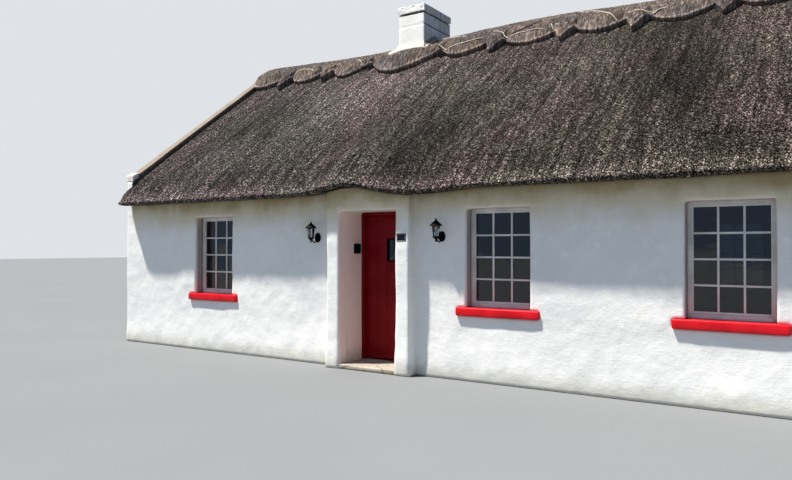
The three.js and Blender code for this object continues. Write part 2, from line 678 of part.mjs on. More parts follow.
addFloor();
addWalls();
addPorch();
addDoor();
WINDOWS.forEach(addWindow);
addChimney(addThatch());
TRUSS_X.forEach((x, i) => addTruss(i + 1, x));
addFittings();

export default cottage;
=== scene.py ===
"""The looks of the thatched cottage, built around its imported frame. Everything is in metres."""

import functools
import math

import bmesh
import bpy
import numpy as np
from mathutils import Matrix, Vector


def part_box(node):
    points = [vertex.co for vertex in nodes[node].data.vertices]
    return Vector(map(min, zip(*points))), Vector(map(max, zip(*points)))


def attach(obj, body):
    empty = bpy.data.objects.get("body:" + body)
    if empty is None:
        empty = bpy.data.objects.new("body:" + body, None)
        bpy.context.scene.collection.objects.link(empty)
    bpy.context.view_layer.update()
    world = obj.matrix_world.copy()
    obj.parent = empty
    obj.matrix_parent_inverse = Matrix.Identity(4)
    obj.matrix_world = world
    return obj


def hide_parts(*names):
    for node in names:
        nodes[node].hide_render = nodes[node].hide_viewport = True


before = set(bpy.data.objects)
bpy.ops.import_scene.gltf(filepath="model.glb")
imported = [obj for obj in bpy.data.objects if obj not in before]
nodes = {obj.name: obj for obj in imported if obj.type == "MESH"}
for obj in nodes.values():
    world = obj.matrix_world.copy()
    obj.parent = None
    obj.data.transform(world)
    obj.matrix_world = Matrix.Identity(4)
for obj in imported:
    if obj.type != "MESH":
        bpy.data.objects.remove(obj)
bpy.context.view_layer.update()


def ends(node):
    """A node's box as x0, x1, y0, y1, z0, z1."""
    low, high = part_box(node)
    return low[0], high[0], low[1], high[1], low[2], high[2]


# The roof's main lines, which the frame's thatch follows
HALF_LENGTH = ends("gable_wall_right")[1]
WALL_Y = -ends("front_wall_left")[2]
PARAPET = 0.155
THATCH_X = HALF_LENGTH - PARAPET - 0.002
PITCH = 0.737
THATCH_APEX = 5.175
UNDER_APEX = 4.8
HUMP = 0.03  # how much the thatch rises towards the middle of its length
EAVE_TOP_Y = 3.25  # where it starts to round down to its eave
EAVE_CONTROL_Y = 3.405
EAVE_OUT = (3.695, 2.35)
EAVE_LOW = (3.61, 2.286)
EAVE_INSET = 0.012  # how much lower the eave's skin is, to leave room for its reed ends
EAVE_STEPS = (0.62, 0.13, 0.25)  # rough lengths of the eave's rounding, its lower edge and its underside
COARSE_END_Y = 0.3  # the skin is coarse up to here, where the roll covers it
LIFT_START_Y = 2.6  # where the eave's rise over the porch starts
CALM_START_Y = 2.9  # where the waves start to calm down towards the eave, and by how much
CALM = 0.6
SINK_AT_END = 0.028  # how far it sinks at the parapets
CORNER_SPREAD = 0.07  # and how far it spreads over the gables' front corners
# height, length, lean and turn of the thatch's waves
SWELLS = ((0.013, 3.1, 0.2, 0.6), (0.012, 1.43, -0.15, 2.1), (0.009, 0.93, 0.25, 4.0))
# height, x and half width of the eave's rise over the porch and of the dip beside it
PORCH_LIFTS = ((0.105, -0.92, 0.43), (-0.04, 0.25, 0.45))
# where the thatch has weathered paler or darker: x, |y|, half width, half height and how much
WEATHERED = (
    (-2.2, 1.4, 0.7, 0.9, 0.75),
    (-3.2, 1.0, 0.5, 0.6, 0.1),
    (-0.2, 2.9, 0.5, 1.0, -0.52),
    (-1.2, 2.3, 0.45, 0.5, -0.15),
    (2.9, 2.0, 0.55, 1.7, -0.5),
    (2.2, 0.8, 1.4, 0.3, -0.3),
    (-4.2, 1.7, 0.5, 0.6, -0.4),
)

# The ridge roll
CREST = 5.33
CREST_WAVE = (0.05, 6.2, 0.2)  # height, length and start of the wave along it
ROLL_FALL_Y = (0, 0.1, 0.22, 0.35, 0.47, 0.58, 0.68, 0.9)
ROLL_FALL_Z = (0, 0.025, 0.095, 0.2, 0.31, 0.43, 0.56, 0.86)
ROLL_END_Y = 0.38
ROLL_END_DROP = (0.42, 0.075)  # length and depth of the drop at both ends
STACK_BANK = 0.11  # how much the roll banks up beside the chimney
LIP = 0.05  # how thick the roll is at its very edge
BELLY = 0.16  # and how far back from there it starts to round down
TONGUE_BELLY = 0.06
LIP_LIT = (1.7, 1.8, 1.9, 1.9, 1.8, 1.7, 1.5, 1.3)  # how much painted light brightens the lip, which lies in shade
NOTCH_Y = 0.4
COPING_END_Y = 0.33
TONGUE_SWELL = 0.04
SCALLOP_SWELL = 0.03
UNDER_LIP = (0.05, 0.03)  # how far the roll goes back under its lip, and how deep into the thatch
CREST_ROWS = 31  # rows of points from the crest to each lip
# reach of each scallop, then the place, half width and reach of the tongue at its right
SCALLOPS = (
    (0.54, -4.84, 0.17, 0.68),
    (0.58, -3.76, 0.17, 0.65),
    (0.64, -2.79, 0.08, 0.52),
    (0.75, -1.31, 0.07, 0.5),
    (0.55, -0.25, 0.18, 0.68),
    (0.58, 0.93, 0.18, 0.68),
    (0.57, 2.02, 0.18, 0.68),
    (0.59, 3.22, 0.18, 0.68),
    (0.57, 4.38, 0.18, 0.68),
    (0.54, HALF_LENGTH, 0, 0),
)
# the rods pinned over the roll: x and how far down it
RODS = (
    (
        (-1.53, 0.53), (-1.42, 0.46), (-1.26, 0.43), (-1.12, 0.44),
        (-0.91, 0.46), (-0.68, 0.44), (-0.46, 0.36),
    ),
    ((-1.48, 0.15), (-1.33, 0.15), (-1.09, 0.21), (-0.83, 0.28)),
    (
        (-0.34, 0.31), (-0.23, 0.36), (-0.09, 0.4), (0.04, 0.44),
        (0.21, 0.47), (0.34, 0.47), (0.62, 0.44),
    ),
    ((0.69, 0.35), (0.76, 0.4), (0.86, 0.46)),
    ((1.05, 0.16), (1.19, 0.17), (1.37, 0.24), (1.54, 0.35), (1.67, 0.43), (1.76, 0.46)),
    ((1.78, 0.44), (1.95, 0.46), (2.12, 0.45), (2.28, 0.43), (2.47, 0.47)),
    ((-3.09, 0.37), (-2.98, 0.42), (-2.9, 0.45)),
    ((3.0, 0.48), (3.35, 0.42), (3.7, 0.46), (4.1, 0.5)),
    ((-4.7, 0.44), (-4.35, 0.4), (-4.0, 0.46)),
)
DARK_RODS = (((0.03, 0.42), (0.18, 0.43), (0.29, 0.39), (0.39, 0.32), (0.5, 0.24)),)

# The walls, the porch and the chimney
PORCH_X = -0.63
WALLS_MEET_Y = -2.6  # where the walls' two parts meet, and how far each is made beyond that at first
WALL_SPARE = 0.15
# each part's name and side, the size of its voxels, and the share of its faces that is kept
WALL_PARTS = (("walls_front_part", -1, 0.0165, 0.18), ("walls_back_part", 1, 0.03, 0.14))
WALL_LUMPS = (0.014, 0.005)  # the plaster's broad and small unevenness, and how much of it is inside
INSIDE_LUMP = 0.3
GABLE_LUMP_MOST = 0.015
FOOT_SPREAD = 0.018  # how much the walls thicken towards their foot, and from which height
FOOT_TOP = 0.6
ON_FACE = 0.02  # how near to a wall's face a point counts as on it
COURSE = 0.222  # the chimney's block joint, below its top, and the upright ones from its front
UPPER_JOINT = 0.56
LOWER_JOINT = 0.36
# how far the cement flare spreads from the chimney's left, front, right and back, and how high it climbs
FLARE_OUT = (0.215, 0.05, 0.075, 0.05)
FLARE_TALL = (0.13, 0.15, 0.08, 0.15)
COPING_JOINTS = (1.1, 1.93, 2.72, WALL_Y - 0.12)

# The door leaf's box, the back of its boards, and its hinge's axis
LEAF = (-1.045, -0.208, -2.945, -2.9, 0.07, 2.052)
BOARD_BACK = -2.918
HINGE = (-1.0475, -2.8915)
HANDLE_Z = 1.05

# Turned profiles: radius and distance along the axis
KNUCKLE = ((0.006, 0), (0.008, 0.002), (0.008, 0.038), (0.006, 0.04))
KNOB = (
    (0.016, 0.004), (0.018, 0.008), (0.014, 0.012), (0.009, 0.017), (0.009, 0.026), (0.014, 0.031),
    (0.021, 0.037), (0.0245, 0.046), (0.025, 0.054), (0.022, 0.064), (0.014, 0.072), (0.003, 0.075),
)
ROSE = ((0.010, 0.004), (0.010, 0.0075), (0.007, 0.009), (0.001, 0.009))
SCREW = ((0.004, 0.004), (0.004, 0.007), (0.002, 0.0078))
HANDLE_PARTS = ((KNOB, 0.03, 28), (ROSE, -0.035, 20), (SCREW, -0.078, 12), (SCREW, 0.078, 12))
STUD = ((0.0035, 0), (0.0035, 0.001), (0.002, 0.0018))
BUTTON = ((0.0055, -0.002), (0.0055, 0.0008), (0.004, 0.0016))
LOCK = ((0.011, -0.002), (0.011, 0.0), (0.006, 0.001))
LANTERN_PLATE = (
    (0.060, 0.0), (0.064, 0.004), (0.060, 0.009), (0.048, 0.011),
    (0.044, 0.016), (0.030, 0.019), (0.012, 0.022), (0.002, 0.023),
)
LANTERN_FOOT = (
    (0.002, -0.07), (0.009, -0.064), (0.013, -0.054), (0.008, -0.044), (0.011, -0.036),
    (0.022, -0.030), (0.036, -0.012), (0.045, -0.004), (0.045, 0.0), (0.02, 0.004),
)
LANTERN_RING = ((0.047, -0.004), (0.056, -0.003), (0.057, 0.002), (0.050, 0.005))
LANTERN_CAP = (
    (0.078, -0.003), (0.080, 0.001), (0.066, 0.016), (0.048, 0.034),
    (0.034, 0.046), (0.026, 0.054), (0.020, 0.058),
)
LANTERN_FINIAL = (
    (0.020, 0.056), (0.014, 0.062), (0.017, 0.068), (0.010, 0.075), (0.006, 0.086), (0.001, 0.095),
)


# Noise and random draws


def lattice(i, j, k, seed):
    """A repeatable number from 0 to 1 for each whole-number point."""
    h = (i * 73856093) ^ (j * 19349663) ^ (k * 83492791) ^ (seed * 39916801)
    h = (h & 0xFFFFFFFF) * 1274126177 & 0xFFFFFFFF
    h = (h ^ (h >> 15)) * 2246822519 & 0xFFFFFFFF
    h = (h ^ (h >> 13)) * 3266489917 & 0xFFFFFFFF
    return ((h ^ (h >> 16)) & 0xFFFFFF) / 0xFFFFFF


def noise(points, scale, seed=0):
    """Smooth noise from -1 to 1 at each point. scale is one number, or one for each axis."""
    q = np.asarray(points, float) * np.asarray(scale, float)
    base = np.floor(q).astype(np.int64)
    f = q - base
    f = f * f * (3 - 2 * f)
    total = np.zeros(q.shape[:-1])
    for corner in np.ndindex(2, 2, 2):
        x, y, z = (f[..., axis] if far else 1 - f[..., axis] for axis, far in enumerate(corner))
        i, j, k = (base[..., axis] + far for axis, far in enumerate(corner))
        total += x * y * z * lattice(i, j, k, seed)
    return total * 2 - 1


def layers(points, scale, seed, count=3):
    """Noise in several layers, each twice as fine and half as strong as the last."""
    scale = np.asarray(scale, float)
    total = 0
    for i in range(count):
        total = total + noise(points, scale * 2**i, seed + i) * 0.5**i
    return total / (2 - 0.5 ** (count - 1))


def scatter_of(shape, seed):
    """A repeatable grid of unrelated numbers from 0 to 1."""
    i, j = np.indices(shape)
    return lattice(i, j, 0 * i, seed)


def smoothstep(low, high, value):
    """From 0 at low to 1 at high, easing in and out."""
    t = np.clip((np.asarray(value, float) - low) / (high - low), 0, 1)
    return t * t * (3 - 2 * t)


def bell(value, at, wide):
    """1 at that place, fading out over its width on both sides."""
    return np.exp(-(((value - at) / wide) ** 2))


# Materials


class Looks:
    """A material and the short ways to wire its nodes."""

    def __init__(self, name):
        self.material = bpy.data.materials.new(name)
        self.material.use_nodes = True
        self.tree = self.material.node_tree
        self.coords = self.node("TexCoord", {}).outputs["Object"]

    def fill(self, node, inputs):
        """Links sockets to the node's inputs, or sets them to plain numbers and colours."""
        for key, value in inputs.items():
            if isinstance(value, bpy.types.NodeSocket):
                self.tree.links.new(value, node.inputs[key])
            elif value is not None:
                if node.inputs[key].type == "RGBA":
                    value = (*(value if isinstance(value, tuple) else (value,) * 3), 1)
                node.inputs[key].default_value = value

    def node(self, kind, inputs, **settings):
        node = self.tree.nodes.new("ShaderNode" + kind)
        for key, value in settings.items():
            setattr(node, key, value)
        self.fill(node, inputs)
        return node

    def place(self, source, stretch):
        """Where a texture is read: the object's own coordinates or another source, stretched if asked."""
        source = source or self.coords
        if stretch:
            source = self.node("Mapping", {"Vector": source, "Scale": stretch}).outputs["Vector"]
        return source

    def noise(self, scale, detail=4, rough=0.55, stretch=None, source=None):
        where = self.place(source, stretch)
        inputs = {"Vector": where, "Scale": scale, "Detail": detail, "Roughness": rough}
        return self.node("TexNoise", inputs).outputs["Fac"]

    def cells(self, scale, stretch=None, source=None, feature="F1", output="Distance"):
        inputs = {"Vector": self.place(source, stretch), "Scale": scale}
        return self.node("TexVoronoi", inputs, feature=feature).outputs[output]

    def attribute(self, name, output="Fac"):
        return self.node("Attribute", {}, attribute_name=name).outputs[output]

    def ramp(self, factor, *stops):
        """A colour ramp. Each stop is a place and a colour, or a place and one grey level."""
        node = self.node("ValToRGB", {"Fac": factor})
        elements = node.color_ramp.elements
        while len(elements) < len(stops):
            elements.new(0.5)
        for element, (place, colour) in zip(elements, stops):
            element.position = place
            element.color = (*(colour if isinstance(colour, tuple) else (colour,) * 3), 1)
        return node.outputs["Color"]

    def mix(self, factor, a, b, mode="MIX"):
        inputs = {"Factor": factor, 6: a, 7: b}
        return self.node("Mix", inputs, data_type="RGBA", blend_type=mode).outputs[2]

    def tinted(self, colour, tint):
        return self.mix(1.0, colour, tint, "MULTIPLY")

    def coat(self, under, mask, strength, over):
        """Colour laid over another where the mask says, at most that strong."""
        return self.mix(self.times(mask, strength), under, over)

    def maths(self, operation, a, b=0.0):
        return self.node("Math", {0: a, 1: b}, operation=operation).outputs[0]

    def times(self, a, b):
        return self.maths("MULTIPLY", a, b)

    def less(self, a, b):
        return self.maths("SUBTRACT", a, b)

    def size(self, a):
        return self.maths("ABSOLUTE", a)

    def between(self, value, low, high, to_low=0.0, to_high=1.0):
        """Goes smoothly from to_low to to_high while the value goes from low to high."""
        inputs = {"Value": value, "From Min": low, "From Max": high, "To Min": to_low, "To Max": to_high}
        return self.node("MapRange", inputs, interpolation_type="SMOOTHSTEP").outputs["Result"]

    def axis(self, name, source=None):
        return self.node("SeparateXYZ", {0: source or self.coords}).outputs[name]

    def facing(self, name):
        return self.axis(name, self.node("NewGeometry", {}).outputs["Normal"])

    def bump(self, height, distance, strength=1.0, under=None):
        inputs = {"Height": height, "Distance": distance, "Strength": strength, "Normal": under}
        return self.node("Bump", inputs).outputs["Normal"]

    def finish(self, colour, roughness, normal=None, shine=0.5, **fixed):
        """Wires the shader and returns the material. shine is its specular level."""
        inputs = {"Base Color": colour, "Roughness": roughness, "Normal": normal}
        fixed["Specular_IOR_Level"] = shine
        inputs.update({name.replace("_", " "): value for name, value in fixed.items()})
        self.fill(self.tree.nodes["Principled BSDF"], inputs)
        return self.material


def limewash():
    """Old limewash: chalky white over lumpy plaster, stained under the eaves and at the foot, with
    painted shade under the eaves, in the window reveals, in the frames' joints and on the parapets' inner
    sides, and painted red light in the porch's reveals.
    """
    m = Looks("limewash_white")
    x, z = m.axis("X"), m.axis("Z")
    inward = m.size(m.axis("Y"))
    side = m.size(m.facing("X"))
    fine = m.noise(9, 6, 0.65)
    white = m.ramp(m.noise(0.9, 5, 0.6), (0.3, (0.72, 0.72, 0.715)), (0.62, (0.81, 0.80, 0.775)))
    white = m.mix(m.between(fine, 0.5, 0.75), white, (0.85, 0.835, 0.80))
    white = m.coat(white, m.between(m.noise(2.3, 5, 0.7), 0.56, 0.75), 0.35, (0.70, 0.66, 0.58))
    # the reveals get painted light: painted shade in the windows' reveals, and painted reflected red
    # light in the porch's reveals
    in_reveal = m.between(inward, WALL_Y - 0.06, WALL_Y - 0.03, 1, 0)
    in_porch = m.between(m.size(m.maths("ADD", x, -PORCH_X)), 0.62, 0.66, 1, 0)
    not_porch = m.less(1.0, in_porch)
    reveal_painted_light = m.times(m.between(side, 0.6, 0.9), m.maths("MAXIMUM", in_reveal, in_porch))
    white = m.coat(white, reveal_painted_light, 0.8, m.mix(in_porch, (0.24, 0.225, 0.21), (0.90, 0.67, 0.60)))
    # a brown-green stain under the eave, partly real stain and partly painted warm shade, ragged at its
    # lower edge
    height = m.maths("ADD", z, m.times(m.less(m.noise(2.6, 5, 0.6, (1, 1, 0.8)), 0.5), 0.5))
    face = m.between(m.maths("MAXIMUM", m.size(m.facing("Y")), m.times(side, not_porch)), 0.5, 0.8)
    covered = m.between(m.size(x), THATCH_X - 0.04, THATCH_X + 0.04, 1, 0)
    outside = m.times(m.times(m.between(inward, WALL_Y - 0.1, WALL_Y - 0.04), face), covered)
    for low, high, colour in ((1.75, 2.2, (0.62, 0.535, 0.35)), (2.1, 2.34, (0.36, 0.285, 0.14))):
        white = m.coat(white, m.times(m.between(height, low, high), outside), 0.85, colour)
    # a painted shadow in the gap between the windows' frames and their reveals
    joint_y = -ends("window_front_left_frame")[2] + 0.004
    joint = m.times(m.between(m.size(m.less(inward, joint_y)), 0.02, 0.008), m.times(covered, not_porch))
    white = m.coat(white, joint, 0.85, (0.10, 0.085, 0.075))
    # splashes and green at the foot
    foot = m.between(m.maths("ADD", z, m.times(m.noise(5, 4, 0.6), -0.25)), -0.1, 0.12, 1, 0)
    white = m.coat(white, foot, 0.6, (0.42, 0.41, 0.33))
    # moss and painted shade on the inner side of the gables' raised strips
    above = m.between(m.maths("ADD", z, m.times(inward, PITCH)), THATCH_APEX - 0.16, THATCH_APEX - 0.13)
    inner = m.between(m.times(m.facing("X"), m.maths("SIGN", x)), -0.2, -0.5)
    white = m.mix(m.times(above, inner), white, (0.055, 0.040, 0.030))
    bump = m.bump(m.noise(9, 6, 0.62), 0.014, 0.45)
    bump = m.bump(m.noise(70, 4, 0.6), 0.003, 0.35, bump)
    bump = m.bump(m.noise(30, 3, 0.6, (0.25, 0.25, 1.6)), 0.003, 0.4, bump)
    return m.finish(white, m.between(fine, 0.3, 0.7, 0.82, 0.97), bump, shine=0.25)


def reed():
    """Weathered reed: grey-brown butts, salt and pepper at arm's length, in purple and green patches."""
    m = Looks("thatch_reed")
    flow = m.attribute("flow", "Vector")
    age = m.attribute("age")
    butts = m.axis("X", m.cells(80, (1, 0.7, 1), flow, output="Color"))
    colour = m.ramp(
        butts,
        (0.0, (0.0016, 0.0011, 0.0008)),
        (0.4, (0.0155, 0.0125, 0.0103)),
        (0.78, (0.067, 0.0595, 0.0555)),
        (1.0, (0.325, 0.293, 0.277)),
    )
    streak = m.noise(1, 4, 0.65, (15, 1.3, 3), flow)
    colour = m.tinted(colour, m.ramp(streak, (0.38, 0.25), (0.5, 0.86), (0.62, 1.58)))
    speck = m.noise(88, 2, 0.7, (1, 0.6, 1), flow)
    colour = m.mix(m.between(speck, 0.58, 0.67, 0, 0.85), colour, (0.29, 0.263, 0.242))
    colour = m.mix(m.between(speck, 0.46, 0.37, 0, 0.9), colour, (0.003, 0.0026, 0.0023))
    colour = m.tinted(colour, m.ramp(m.attribute("tone"), (0.0, 0.2), (0.5, 0.9), (1.0, 2.6)))
    # purple where it has weathered paler, green where darker, but not at the eave
    on_slope = m.between(m.size(m.axis("Y")), 3.2, 3.5, 0.1, 0)
    tint = m.maths("ADD", m.noise(0.8, 3, 0.5, (1, 1.1, 0.9)), m.times(m.less(age, 0.95), on_slope))
    hue = m.ramp(tint, (0.42, (0.975, 1.015, 0.96)), (0.5, (1.0, 0.99, 0.98)), (0.58, (1.04, 0.96, 1.0)))
    colour = m.tinted(colour, hue)
    # greyer at the cottage's left end, browner at its right
    warmer = m.mix(m.between(m.axis("X"), -5, 4.5), (1.0, 0.975, 0.99), (1.03, 0.95, 0.90))
    # then its weathering, which also carries painted light on the eave's edge and underside
    colour = m.tinted(m.tinted(colour, warmer), age)
    bump = m.bump(m.noise(95, 3, 0.7, (1, 0.5, 1), flow), 0.016, 0.9)
    return m.finish(colour, 0.95, bump, shine=0.05)


def combed_straw():
    """The ridge's smoother straw, combed down its slopes, in tan and purple patches with pale ends."""
    m = Looks("ridge_straw")
    flow = m.attribute("flow", "Vector")
    strand = m.noise(1, 5, 0.75, (46, 12, 3), flow)
    butts = m.axis("X", m.cells(58, (1, 0.32, 1), flow, output="Color"))
    colour = m.ramp(
        strand,
        (0.34, (0.046, 0.039, 0.036)),
        (0.5, (0.102, 0.088, 0.083)),
        (0.68, (0.205, 0.180, 0.170)),
    )
    colour = m.tinted(colour, m.ramp(butts, (0.0, 0.45), (0.6, 0.95), (1.0, 2.0)))
    tan, dull = m.tinted(colour, (1.22, 1.08, 0.94)), m.tinted(colour, (0.80, 0.77, 0.78))
    colour = m.mix(m.between(m.noise(2.4, 4, 0.65), 0.42, 0.6), dull, tan)
    speck = m.noise(95, 2, 0.7, (1, 0.6, 1), flow)
    colour = m.mix(m.between(speck, 0.61, 0.70, 0, 0.8), colour, (0.27, 0.243, 0.225))
    colour = m.mix(m.between(speck, 0.43, 0.34, 0, 0.75), colour, (0.010, 0.008, 0.007))
    # tone is random, and on the roll it also carries painted light on the lip and belly
    colour = m.tinted(colour, m.ramp(m.attribute("tone"), (0.0, 0.25), (0.5, 0.95), (1.0, 2.0)))
    return m.finish(colour, 0.92, m.bump(strand, 0.02, 0.9), shine=0.06)


def chimney_paint():
    """Masonry paint on the chimney: bright, with grime in its hollows and painted shade on its right
    face.
    """
    m = Looks("limewash_chimney")
    _, _, front, _, _, top = ends("chimney_stack")
    y, z = m.axis("Y"), m.axis("Z")
    cloud = m.noise(2.2, 5, 0.62)
    white = m.ramp(cloud, (0.32, (0.86, 0.83, 0.79)), (0.6, (0.94, 0.915, 0.875)))
    hollows = m.between(m.noise(16, 6, 0.68), 0.60, 0.74)
    grime = m.times(hollows, m.between(m.noise(4.5, 4, 0.6), 0.50, 0.64))
    white = m.coat(white, grime, 0.45, (0.42, 0.41, 0.38))
    # painted shade: the right face is darkened and blued, with its dark joints on it
    painted_shade_face = m.tinted(white, m.ramp(cloud, (0.3, (0.28, 0.30, 0.33)), (0.7, (0.52, 0.54, 0.59))))
    lines = m.maths("MINIMUM", m.size(m.less(z, top - COURSE)), m.size(m.less(y, front + UPPER_JOINT)))
    painted_shade_face = m.mix(m.between(lines, 0.022, 0.008, 0, 0.75), painted_shade_face, (0.05, 0.055, 0.065))
    white = m.mix(m.between(m.facing("X"), 0.55, 0.8), white, painted_shade_face)
    # the shade and dirt under the cap
    under = m.between(m.size(m.less(z, top - 0.012)), 0.024, 0.014)
    broken = m.between(m.noise(19, 3, 0.6), 0.36, 0.46, 0.45, 1)
    white = m.mix(m.times(under, broken), white, (0.02, 0.02, 0.022))
    bump = m.bump(m.noise(110, 3, 0.6), 0.002, 0.4, m.bump(m.noise(26, 6, 0.7), 0.006, 0.45))
    return m.finish(white, 0.92, bump, shine=0.25)


def cement():
    """The cement flare at the chimney's foot: cream, whiter where it is steep, with a painted shadow on
    its right.
    """
    m = Looks("cement_cream")
    fine = m.noise(30, 5, 0.68)
    cream = m.ramp(m.noise(5, 5, 0.62), (0.32, (0.38, 0.34, 0.285)), (0.64, (0.50, 0.46, 0.40)))
    cream = m.mix(m.between(fine, 0.58, 0.72, 0, 0.5), cream, (0.22, 0.19, 0.15))
    cream = m.coat(cream, m.between(m.facing("Z"), 0.6, 0.3), 0.8, (0.70, 0.665, 0.61))
    # painted shadow on the flare's right side
    cream = m.mix(m.between(m.facing("X"), 0.15, 0.5, 0, 0.8), cream, (0.05, 0.048, 0.046))
    return m.finish(cream, 0.94, m.bump(fine, 0.006, 0.6), shine=0.2)


def coping_stone():
    """Concrete copings, pale on top with painted shade on their sides and underside, with lichen and
    limewashed kneeler blocks.
    """
    m = Looks("coping_stone")
    cloud = m.noise(3.0, 5, 0.65)
    fine = m.noise(24, 5, 0.7)
    pale = m.ramp(cloud, (0.3, (0.190, 0.152, 0.118)), (0.65, (0.245, 0.200, 0.160)))
    dark = m.ramp(fine, (0.3, (0.055, 0.042, 0.034)), (0.7, (0.17, 0.145, 0.12)))
    # painted shade: the sides and underside take the dark colour, the top the pale one
    colour = m.mix(m.between(m.facing("Z"), 0.35, 0.7), dark, pale)
    lichen = m.times(m.between(m.cells(14), 0.12, 0.02), m.between(cloud, 0.5, 0.62))
    colour = m.coat(colour, lichen, 0.55, (0.20, 0.175, 0.11))
    foot = m.between(m.size(m.axis("Y")), WALL_Y - 0.125, WALL_Y - 0.115)
    colour = m.mix(foot, colour, (0.60, 0.55, 0.52))
    bump = m.bump(m.noise(120, 3, 0.6), 0.003, 0.5, m.bump(fine, 0.012, 0.7))
    return m.finish(colour, 0.94, bump, shine=0.25)


def paint(name, base, worn_to, gloss, wear=0.62, fade=0.12, shine=0.5):
    """Brushed paint over wood or stone, faded in clouds and rubbed through in places."""
    m = Looks(name)
    cloud = m.noise(3.5, 4, 0.6)
    brush = m.noise(60, 4, 0.6, (1.0, 1.0, 0.12))
    faded = tuple(min(1, c * (1 + fade) + 0.004) for c in base)
    deep = tuple(c * (1 - fade) for c in base)
    colour = m.mix(m.between(cloud, 0.35, 0.65), deep, faded)
    chips = m.times(m.between(m.noise(45, 6, 0.75), wear, wear + 0.05), m.between(cloud, 0.5, 0.62))
    rough = m.between(brush, 0.3, 0.7, gloss - 0.06, gloss + 0.1)
    bump = m.bump(m.noise(8, 3, 0.5), 0.004, 0.25, m.bump(brush, 0.0015, 0.35))
    return m.finish(m.mix(chips, colour, worn_to), rough, bump, shine=shine)


def glass(name, tint):
    """Thin old glass, slightly wavy, with dust and smears."""
    m = Looks(name)
    dust = m.ramp(m.noise(20, 5, 0.7), (0.4, tint), (0.75, tuple(c * 1.35 + 0.01 for c in tint)))
    smear = m.between(m.noise(5, 4, 0.6), 0.4, 0.7, 0.015, 0.07)
    waves = m.bump(m.noise(7, 2, 0.4), 0.004, 0.2)
    return m.finish(dust, smear, waves, Transmission_Weight=1.0, IOR=1.58)


def black_metal():
    """Painted cast iron with a little rust."""
    m = Looks("black_metal")
    cast = m.noise(90, 4, 0.65)
    colour = m.ramp(cast, (0.3, (0.0015, 0.0015, 0.002)), (0.7, (0.004, 0.004, 0.005)))
    colour = m.coat(colour, m.between(m.noise(26, 5, 0.7), 0.62, 0.74), 0.4, (0.04, 0.022, 0.014))
    rough = m.between(cast, 0.3, 0.7, 0.62, 0.78)
    return m.finish(colour, rough, m.bump(cast, 0.0012, 0.6), shine=0.06)


def slate():
    """Dark blue slate with faint clefts."""
    m = Looks("slate_plate")
    cleft = m.noise(40, 6, 0.65, (0.5, 1, 1.6))
    colour = m.ramp(cleft, (0.3, (0.002, 0.0035, 0.009)), (0.7, (0.006, 0.008, 0.017)))
    rough = m.between(cleft, 0.3, 0.7, 0.5, 0.7)
    return m.finish(colour, rough, m.bump(cleft, 0.0015, 0.6), shine=0.12)


def flagstone():
    """Irregular slabs of grainy stone with darker joints."""
    m = Looks("flagstone")
    slabs = m.cells(1.6, feature="DISTANCE_TO_EDGE")
    own = m.axis("X", m.cells(1.6, output="Color"))
    grain = m.noise(18, 6, 0.68)
    stone = m.ramp(grain, (0.25, (0.20, 0.17, 0.135)), (0.75, (0.40, 0.36, 0.30)))
    stone = m.tinted(stone, m.ramp(own, (0.0, 0.8), (1.0, 1.2)))
    colour = m.mix(m.between(slabs, 0.0, 0.02, 1, 0), stone, (0.12, 0.105, 0.085))
    bump = m.bump(grain, 0.006, 0.6, m.bump(slabs, 0.01, 0.5))
    return m.finish(colour, m.between(grain, 0.3, 0.7, 0.7, 0.92), bump)


def timber():
    """Sawn brown timber, grained along the trusses' lengths."""
    m = Looks("roof_timber")
    rings = m.noise(26, 4, 0.6, (6, 0.6, 2.4))
    grain = m.noise(7, 6, 0.65, (9, 1, 3.5))
    colour = m.ramp(grain, (0.25, (0.085, 0.05, 0.028)), (0.7, (0.26, 0.17, 0.10)))
    colour = m.mix(m.between(rings, 0.55, 0.7, 0, 0.5), colour, (0.05, 0.03, 0.018))
    return m.finish(colour, 0.8, m.bump(rings, 0.004, 0.6))


def rod_wood(name, pale, dark):
    """Split hazel, weathered in streaks along the roof."""
    m = Looks(name)
    streak = m.noise(14, 5, 0.6, (1, 4, 4))
    colour = m.mix(m.between(streak, 0.4, 0.62), pale, dark)
    colour = m.mix(m.between(m.noise(60, 3, 0.6), 0.6, 0.7, 0, 0.6), colour, dark)
    return m.finish(colour, 0.8, m.bump(streak, 0.003, 0.6))


LIMEWASH = limewash()
LIMEWASH_CHIMNEY = chimney_paint()
CEMENT = cement()
COPING_STONE = coping_stone()
REED = reed()
RIDGE_STRAW = combed_straw()
SILL_PAINT = paint("sill_red_paint", (0.62, 0.004, 0.012), (0.20, 0.04, 0.04), 0.35, shine=0.2)
DOOR_PAINT = paint(
    "door_red_paint", (0.18, 0.0015, 0.005), (0.07, 0.01, 0.01), 0.32, fade=0.08, shine=0.12
)
WINDOW_PAINT = paint("window_white_paint", (0.62, 0.61, 0.575), (0.30, 0.25, 0.19), 0.38, wear=0.66)
GLASS = glass("window_glass", (0.10, 0.125, 0.14))
LANTERN_GLASS = glass("lantern_glass", (0.75, 0.78, 0.78))
BLACK_METAL = black_metal()
SLATE = slate()
FLAGSTONE = flagstone()
ROD_WOOD = rod_wood("ridge_rod_pale", (0.62, 0.53, 0.42), (0.36, 0.27, 0.19))
ROD_BARK = rod_wood("ridge_rod_dark", (0.075, 0.045, 0.035), (0.035, 0.022, 0.018))
TIMBER = timber()


# Mesh building


